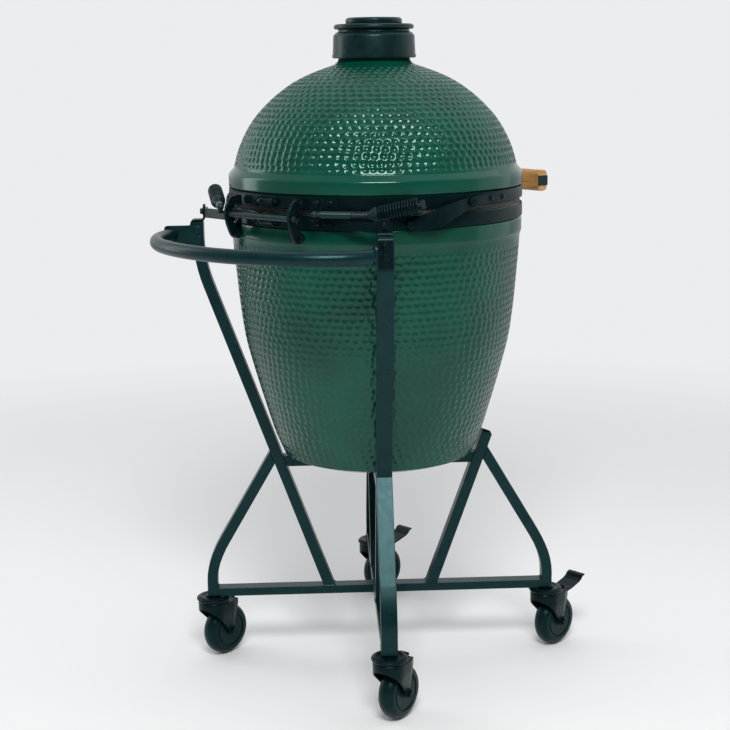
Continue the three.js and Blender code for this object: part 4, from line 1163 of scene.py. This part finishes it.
def stand():
    for name in LEGS:
        dressed("outer_leg_" + name, PAINT, 2.2)
    for name in ("upright_rear_left", "upright_rear_right", "brace_front_right", "brace_front_left"):
        dressed(name, PAINT, 2.2)
    for level in ("lower", "upper"):
        for part in ("long", "rear", "front"):
            dressed(f"{level}_bar_{part}", PAINT, 1.8)
    beads = Shape()
    for deg in LEGS.values():
        one = Shape()
        t = t_at(BAR_LOW[1])
        z = BAR_LOW[1] + 0.4
        half_w, half_t = TUBE_W / 2, TUBE_D * 0.53
        weld(one, [(t - half_t, -half_w, z), (t + half_t, -half_w, z), (t + half_t, half_w, z),
                   (t - half_t, half_w, z), (t - half_t, -half_w, z)], 1.7)
        edge = LEG_T - TUBE_D / 2
        for side in (-1, 1):
            weld(one, [(edge, side * 14, BAR_LOW[0] + 2), (edge, side * 14, BAR_LOW[1])], 1.5)
        m = leg_matrix(deg)
        one.verts = [tuple(m @ Vector(v)) for v in one.verts]
        beads.add(one.verts, one.faces)
    finish_piece(beads, "stand_weld_beads", PAINT, "stand", (), "frame_paint")


def step_plate(name, deg):
    """Bent plate over the top of an upright, with clipped corners and three bolts."""
    s = Shape()
    base_t = TOP_T + 10.3
    path = [(base_t + 2, 812), (base_t + 2, 858), (base_t + 0.6, 862.4), (base_t - 3, 863.8),
            (TOP_T - 6, 863.8), (TOP_T - 10.6, 865.4), (TOP_T - 12, 870), (TOP_T - 12, 893)]
    rounded = fillet(path, 4, 5, closed=False)
    total = len(rounded)
    m = leg_matrix(deg)
    verts = []
    for i, (t, z) in enumerate(rounded):
        before = Vector(rounded[max(i - 1, 0)])
        after = Vector(rounded[min(i + 1, total - 1)])
        along = (after - before).normalized()
        across = Vector((along.y, -along.x)) * 2
        half = 12.5
        for sx, sy in ((1, -1), (1, 1), (-1, 1), (-1, -1)):
            verts.append((t + across.x * sx, sy * half, z + across.y * sx))
    top_rows = [(TOP_T - 12, 886, 12.5), (TOP_T - 12, 893, 7)]
    verts = verts[:-4]
    for t, z, half in top_rows:
        for sx, sy in ((1, -1), (1, 1), (-1, 1), (-1, -1)):
            verts.append((t + 2 * sx, sy * half, z))
    n = len(verts) // 4
    faces = []
    for i in range(n - 1):
        a, b = 4 * i, 4 * (i + 1)
        faces += [(a + k, a + (k + 1) % 4, b + (k + 1) % 4, b + k) for k in range(4)]
    faces += [(3, 2, 1, 0), tuple(4 * (n - 1) + k for k in range(4))]
    s.add(verts, faces, m)
    for z in (831, 849):
        at = m @ Vector((base_t + 4, 0, z))
        s.bolt(at, m @ Vector((1, 0, 0)), 5.6, 4.6)
    s.bolt(m @ Vector((TOP_T - 10, 0, 880)), m @ Vector((1, 0, 0)), 5.6, 4.6)
    swap(s, name + "_metal", BLACK, name, 0.5)


def push_handle():
    centre, half, deep, radius = 245, 262, 183, 12.5
    start = math.radians(11.45)
    steps = 72
    path = []
    for i in range(steps + 1):
        a = start + (math.pi - 2 * start) * i / steps
        if i in (1, steps - 1):
            continue
        path.append(Vector((-half * math.cos(a), centre + deep * math.sin(a), PUSH_Z)))
    s = Shape()
    sides = 40
    s.tube(path, radius, sides)
    inner = TUBE_W / 2 + 3
    for first, toward, side in ((0, path[1] - path[0], -1), (len(path) - 1, path[-2] - path[-1], 1)):
        deg = 135 if side < 0 else 45
        normal = Vector((-math.sin(math.radians(deg)), math.cos(math.radians(deg)), 0)) * side
        for k in range(sides):
            v = Vector(s.verts[first * sides + k])
            d = toward.normalized()
            s.verts[first * sides + k] = tuple(v + d * (inner - v.dot(normal)) / d.dot(normal))
    for side in (-1, 1):
        deg = 135 if side < 0 else 45
        m = leg_matrix(deg)
        face = (TUBE_W / 2 + 0.3, TUBE_W / 2 + 5.3)
        cheek = fillet([(TOP_T - 8, PUSH_Z - 18), (TOP_T + 62, PUSH_Z - 18), (TOP_T + 62, PUSH_Z + 18),
                        (TOP_T - 8, PUSH_Z + 18)], 7, 5)
        flat = Matrix(((1, 0, 0, 0), (0, 0, side, 0), (0, 1, 0, 0), (0, 0, 0, 1)))
        s.prism(cheek, face[0], face[1], m @ flat)
        for dz in (-9, 9):
            at = m @ Vector((TOP_T, side * face[1], PUSH_Z + dz))
            s.bolt(at, m @ Vector((0, side, 0)), 5.6, 4.4)
    swap(s, "push_handle_tube", PAINT, "push_handle", 0.6, 35)


stand()
step_plate("step_plate_left", LEGS["rear_left"])
step_plate("step_plate_right", LEGS["rear_right"])
dressed("mount_strap_left", BLACK, 0.8)
dressed("mount_strap_right", BLACK, 0.8)
push_handle()


# ------------------------------------------------------------------ casters
YOKE_OUT = WHEEL_HALF + 6
TREAD_R = WHEEL_R * math.cos(math.radians(7.5))   # the CAD tread stands on its flats
CHEEK_PLANE = Matrix(((1, 0, 0, 0), (0, 0, 1, 0), (0, 1, 0, 0), (0, 0, 0, 1)))


def caster_matrix(name):
    a = math.radians(LEGS[name])
    return turn(TRAIL_DEG[name], (LEG_T * math.cos(a), LEG_T * math.sin(a), 0))


# distance along the trail and height of the lower edge of the skirt
SKIRT_EDGE = [(-31, 103), (-26, 100), (-19, 94), (-10, 85), (0, 75), (12, 60), (20, 47), (24, 41), (28, 39),
              (32, 41), (36, 52), (40, 76), (44, 98), (47, 106)]
SKIRT_T = 2.6


def skirt_plan():
    """Half outline of the skirt seen from above: front of the cap, side, then the folded rear."""
    front = [(-30 * math.cos(a), 30 * math.sin(a)) for a in np.linspace(0, math.pi * 0.56, 24)]
    side = [(9, 29.4), (13, 29), (17, 28.5), (21, 28), (25, 27.6), (28, 27.2), (29, 26.9)]
    rear = [(32, 25.8), (36, 24.2), (40, 22.6), (44, 21), (46, 20.2)]
    return front + side + rear


def skirt(shape, m):
    """Formed sheet that hangs from the swivel and carries the axle."""
    half = skirt_plan()
    plan = np.array([(x, -y) for x, y in reversed(half)] + half[1:])
    along = np.gradient(plan, axis=0)
    inward = np.stack([-along[:, 1], along[:, 0]], axis=1)
    inward /= np.linalg.norm(inward, axis=1)[:, None]
    if inward[len(plan) // 2, 0] < 0:
        inward = -inward
    edge_x, edge_z = np.array(SKIRT_EDGE).T
    down = np.linspace(0, 1, 25)
    skins = []
    for depth in (0, SKIRT_T):
        verts = []
        for (x, y), (nx, ny) in zip(plan, inward):
            low = np.interp(x, edge_x, edge_z)
            for v in down:
                z = 112.5 - v * (112.5 - low)
                t = min(1.0, max(0.0, (100 - z) / 40))
                pinch = 1 - 0.18 * t * t * (3 - 2 * t)
                verts.append((x + nx * depth, (y + ny * depth) * pinch, z))
        skins.append(verts)
    count, rows = len(plan), len(down)
    faces = []

    def outer(i, j):
        return i * rows + j

    def inner(i, j):
        return count * rows + i * rows + j

    for i in range(count - 1):
        for j in range(rows - 1):
            faces.append((outer(i, j), outer(i, j + 1), outer(i + 1, j + 1), outer(i + 1, j)))
            faces.append((inner(i, j), inner(i + 1, j), inner(i + 1, j + 1), inner(i, j + 1)))
        faces.append((outer(i, 0), outer(i + 1, 0), inner(i + 1, 0), inner(i, 0)))
        faces.append((outer(i, rows - 1), inner(i, rows - 1), inner(i + 1, rows - 1), outer(i + 1, rows - 1)))
    for j in range(rows - 1):
        faces.append((outer(0, j), inner(0, j), inner(0, j + 1), outer(0, j + 1)))
        last = count - 1
        faces.append((outer(last, j), outer(last, j + 1), inner(last, j + 1), inner(last, j)))
    shape.add(skins[0] + skins[1], faces, m)


def fork(name):
    m = caster_matrix(name)
    s = Shape()
    s.lathe([(0, 112), (28.4, 112), (29.6, 113), (29.8, 115), (28.4, 116.6), (28.2, 117.6), (31.4, 118.6),
             (32.8, 120.4), (32.6, 122.8), (30.6, 125), (27, 126.6), (24, 126.8), (21, 125.4), (15, 125),
             (15, 127.9),
             (6, 127.9), (6, 152), (0, 152)], 96, m)
    s.lathe([(0, 107), (29.4, 107), (29.9, 108), (29.9, 112.4), (0, 112.4)], 64, m)
    rear_top = fillet([(0, -27.4), (28, -26.6), (45, -20), (45, 20), (28, 26.6), (0, 27.4)], 2, 4)
    s.prism(rear_top, 109.6, 112.5, m)
    skirt(s, m)
    for side in (-1, 1):
        hub = m @ Vector((TRAIL, side * YOKE_OUT, WHEEL_R))
        outward = m.to_3x3() @ Vector((0, side, 0))
        s.bolt(hub + outward * 0.6, outward, 7.6, 5.6)
    s.tube([m @ Vector((TRAIL, -YOKE_OUT, WHEEL_R)), m @ Vector((TRAIL, YOKE_OUT, WHEEL_R))], 5, 24)
    tab = fillet([(45, 111), (49.5, 113), (49.5, 117), (47, 117), (44, 112.5)], 0.8, 2)
    s.prism(tab, -9, 9, m @ CHEEK_PLANE)
    if name.startswith("front"):
        s.tube([m @ Vector((35, -YOKE_OUT, 107)), m @ Vector((35, YOKE_OUT, 107))], 2.5, 20)
    swap(s, f"fork_{name}_metal", BLACK, "fork_" + name, 0.5)


def brake_pedal(name):
    """Pressed plate that hooks over its pin and ends in an upturned tip."""
    s = Shape()
    outline = fillet([(50, 108), (60, 108.6), (72, 112), (85, 115.4), (93, 119.6), (97.5, 125), (104.5, 127),
                      (104, 129.4), (95.5, 127.6), (91, 122.2), (84, 118.2), (71, 114.8), (59, 111.6),
                      (50, 111.4)], 1, 3)
    m = caster_matrix(name) @ CHEEK_PLANE
    s.prism(outline, -19, 19, m)
    neck = fillet([(38.6, 103), (44, 102.5), (54, 105.5), (76, 112), (76, 114.6), (50, 110.6),
                   (38.6, 109)], 1, 3)
    for side in (-1, 1):
        lo, hi = sorted((side * 13, side * 16.4))
        s.prism(neck, lo, hi, m)
    s.prism(fillet([(38.6, 104), (42, 104), (42, 109), (38.6, 109)], 0.8, 2), -16.4, 16.4, m)
    swap(s, f"brake_{name}_plate", BLACK, "brake_pedal_" + name, 0.4)


def wheel(name):
    m = caster_matrix(name) @ Matrix.Translation((TRAIL, 0, WHEEL_R)) @ Matrix.Rotation(math.pi / 2, 4, "X")
    s = Shape()
    half = [(13, 16), (13.6, 15.2), (29.6, 15.6), (30.3, 13.6), (33, 13.6), (33.7, 15.9), (40.6, 16),
            (43.2, 14.6), (45.9, 11.8), (48, 8.2), (49.3, 4.6), (TREAD_R, 1.6)]
    outline = [(5.6, 16)] + half + [(r, -z) for r, z in reversed(half)] + [(5.6, -16)]
    s.lathe(outline, 144, m)
    swap(s, f"wheel_{name}_tyre", RUBBER, "wheel_" + name, 0.3, 30)


for caster in LEGS:
    fork(caster)
    wheel(caster)
    if caster.startswith("front"):
        brake_pedal(caster)


# ------------------------------------------------------------------ floor and light
BACKDROP = 0.86         # brightness of the backdrop and of the far floor
FLOOR_NEAR = 1.1        # the floor starts to brighten here, metres from the origin
FLOOR_FAR = 3.2
WORLD_NEAR = 0.06       # light of the studio from the side of the camera
WORLD_FAR = 0.8         # and from the far side
WORLD_TOP = 0.12        # more from overhead


def make_floor():
    """Plain pale floor, which turns as bright as the backdrop far away from the object."""
    mat = new_material("floor", (0.86, 0.86, 0.86), 0.85, spec=0.2)
    coords = node(mat, "ShaderNodeTexCoord")
    away = node(mat, "ShaderNodeVectorMath")
    away.operation = "LENGTH"
    spread = node(mat, "ShaderNodeMapRange")
    spread.interpolation_type = "SMOOTHSTEP"
    spread.inputs["From Min"].default_value = FLOOR_NEAR
    spread.inputs["From Max"].default_value = FLOOR_FAR
    link(mat, coords, "Object", away, "Vector")
    link(mat, away, "Value", spread, "Value")
    rays = node(mat, "ShaderNodeLightPath")
    share = node(mat, "ShaderNodeMath")
    share.operation = "MULTIPLY"
    link(mat, spread, "Result", share, 0)
    link(mat, rays, "Is Camera Ray", share, 1)
    glow = node(mat, "ShaderNodeEmission")
    glow.inputs["Color"].default_value = (0.97, 0.98, 1.0, 1)
    glow.inputs["Strength"].default_value = BACKDROP
    choose = node(mat, "ShaderNodeMixShader")
    link(mat, share, "Value", choose, "Fac")
    link(mat, shader_of(mat), "BSDF", choose, 1)
    link(mat, glow, "Emission", choose, 2)
    link(mat, choose, "Shader", mat.node_tree.nodes["Material Output"], "Surface")
    mesh = bpy.data.meshes.new("floor")
    size = 14
    corners = [(-size, -size, 0), (size, -size, 0), (size, size, 0), (-size, size, 0)]
    mesh.from_pydata(corners, [], [(0, 1, 2, 3)])
    mesh.materials.append(mat)
    floor = bpy.data.objects.new("floor", mesh)
    bpy.context.scene.collection.objects.link(floor)


def area_light(name, place, aim, size, power, tall=None):
    data = bpy.data.lights.new(name, "AREA")
    data.energy = power
    data.size = size
    if tall:
        data.shape = "RECTANGLE"
        data.size_y = tall
    lamp = bpy.data.objects.new(name, data)
    bpy.context.scene.collection.objects.link(lamp)
    lamp.location = place
    lamp.rotation_euler = (Vector(aim) - Vector(place)).to_track_quat("-Z", "Y").to_euler()


def make_lights():
    ahead = Vector((-CAM_SIDE[0], -CAM_SIDE[1], 0)).normalized()
    right = ahead.cross(Vector((0, 0, 1)))
    aim = (AXIS_X, AXIS_Y, 0.75)
    middle = Vector(aim)

    def spot(sideways, back, height):
        return middle + right * sideways - ahead * back + Vector((0, 0, height - 0.75))

    area_light("softbox_front", spot(0.12, 2.6, 2.85), aim, 1.25, 92, 1.0)
    area_light("softbox_left", spot(-2.6, -0.9, 1.5), aim, 1.0, 15, 2.2)
    area_light("softbox_right", spot(2.7, -0.6, 1.7), aim, 2.4, 11, 3.4)
    area_light("softbox_top", spot(0.4, -0.4, 3.6), aim, 2.8, 12)
    make_world()


def make_world():
    """Soft grey studio: bright overhead and behind the object, darker round the horizon in front."""
    world = bpy.data.worlds.new("studio")
    world.use_nodes = True
    tree = world.node_tree
    coords = tree.nodes.new("ShaderNodeTexCoord")
    mapping = tree.nodes.new("ShaderNodeMapping")
    mapping.inputs["Rotation"].default_value = (0, 0, -math.atan2(-CAM_SIDE[1], -CAM_SIDE[0]))
    split = tree.nodes.new("ShaderNodeSeparateXYZ")
    ahead = tree.nodes.new("ShaderNodeMapRange")
    ahead.inputs["From Min"].default_value = -0.9
    ahead.inputs["From Max"].default_value = 0.9
    ahead.inputs["To Min"].default_value = WORLD_NEAR
    ahead.inputs["To Max"].default_value = WORLD_FAR
    upward = tree.nodes.new("ShaderNodeMapRange")
    upward.inputs["From Min"].default_value = 0.25
    upward.inputs["From Max"].default_value = 0.95
    upward.inputs["To Min"].default_value = 0.0
    upward.inputs["To Max"].default_value = WORLD_TOP
    total = tree.nodes.new("ShaderNodeMath")
    background = tree.nodes["Background"]
    background.inputs["Color"].default_value = (0.95, 0.97, 1.0, 1)
    links = tree.links
    links.new(coords.outputs["Generated"], mapping.inputs["Vector"])
    links.new(mapping.outputs["Vector"], split.inputs["Vector"])
    links.new(split.outputs["X"], ahead.inputs["Value"])
    links.new(split.outputs["Z"], upward.inputs["Value"])
    links.new(ahead.outputs["Result"], total.inputs[0])
    links.new(upward.outputs["Result"], total.inputs[1])
    links.new(total.outputs["Value"], background.inputs["Strength"])
    backdrop = tree.nodes.new("ShaderNodeBackground")
    backdrop.inputs["Color"].default_value = (0.97, 0.98, 1.0, 1)
    backdrop.inputs["Strength"].default_value = BACKDROP
    rays = tree.nodes.new("ShaderNodeLightPath")
    choose = tree.nodes.new("ShaderNodeMixShader")
    links.new(rays.outputs["Is Camera Ray"], choose.inputs["Fac"])
    links.new(background.outputs["Background"], choose.inputs[1])
    links.new(backdrop.outputs["Background"], choose.inputs[2])
    links.new(choose.outputs["Shader"], tree.nodes["World Output"].inputs["Surface"])
    bpy.context.scene.world = world


bpy.context.scene.view_settings.view_transform = "Standard"
make_floor()
make_lights()
bpy.context.view_layer.update()
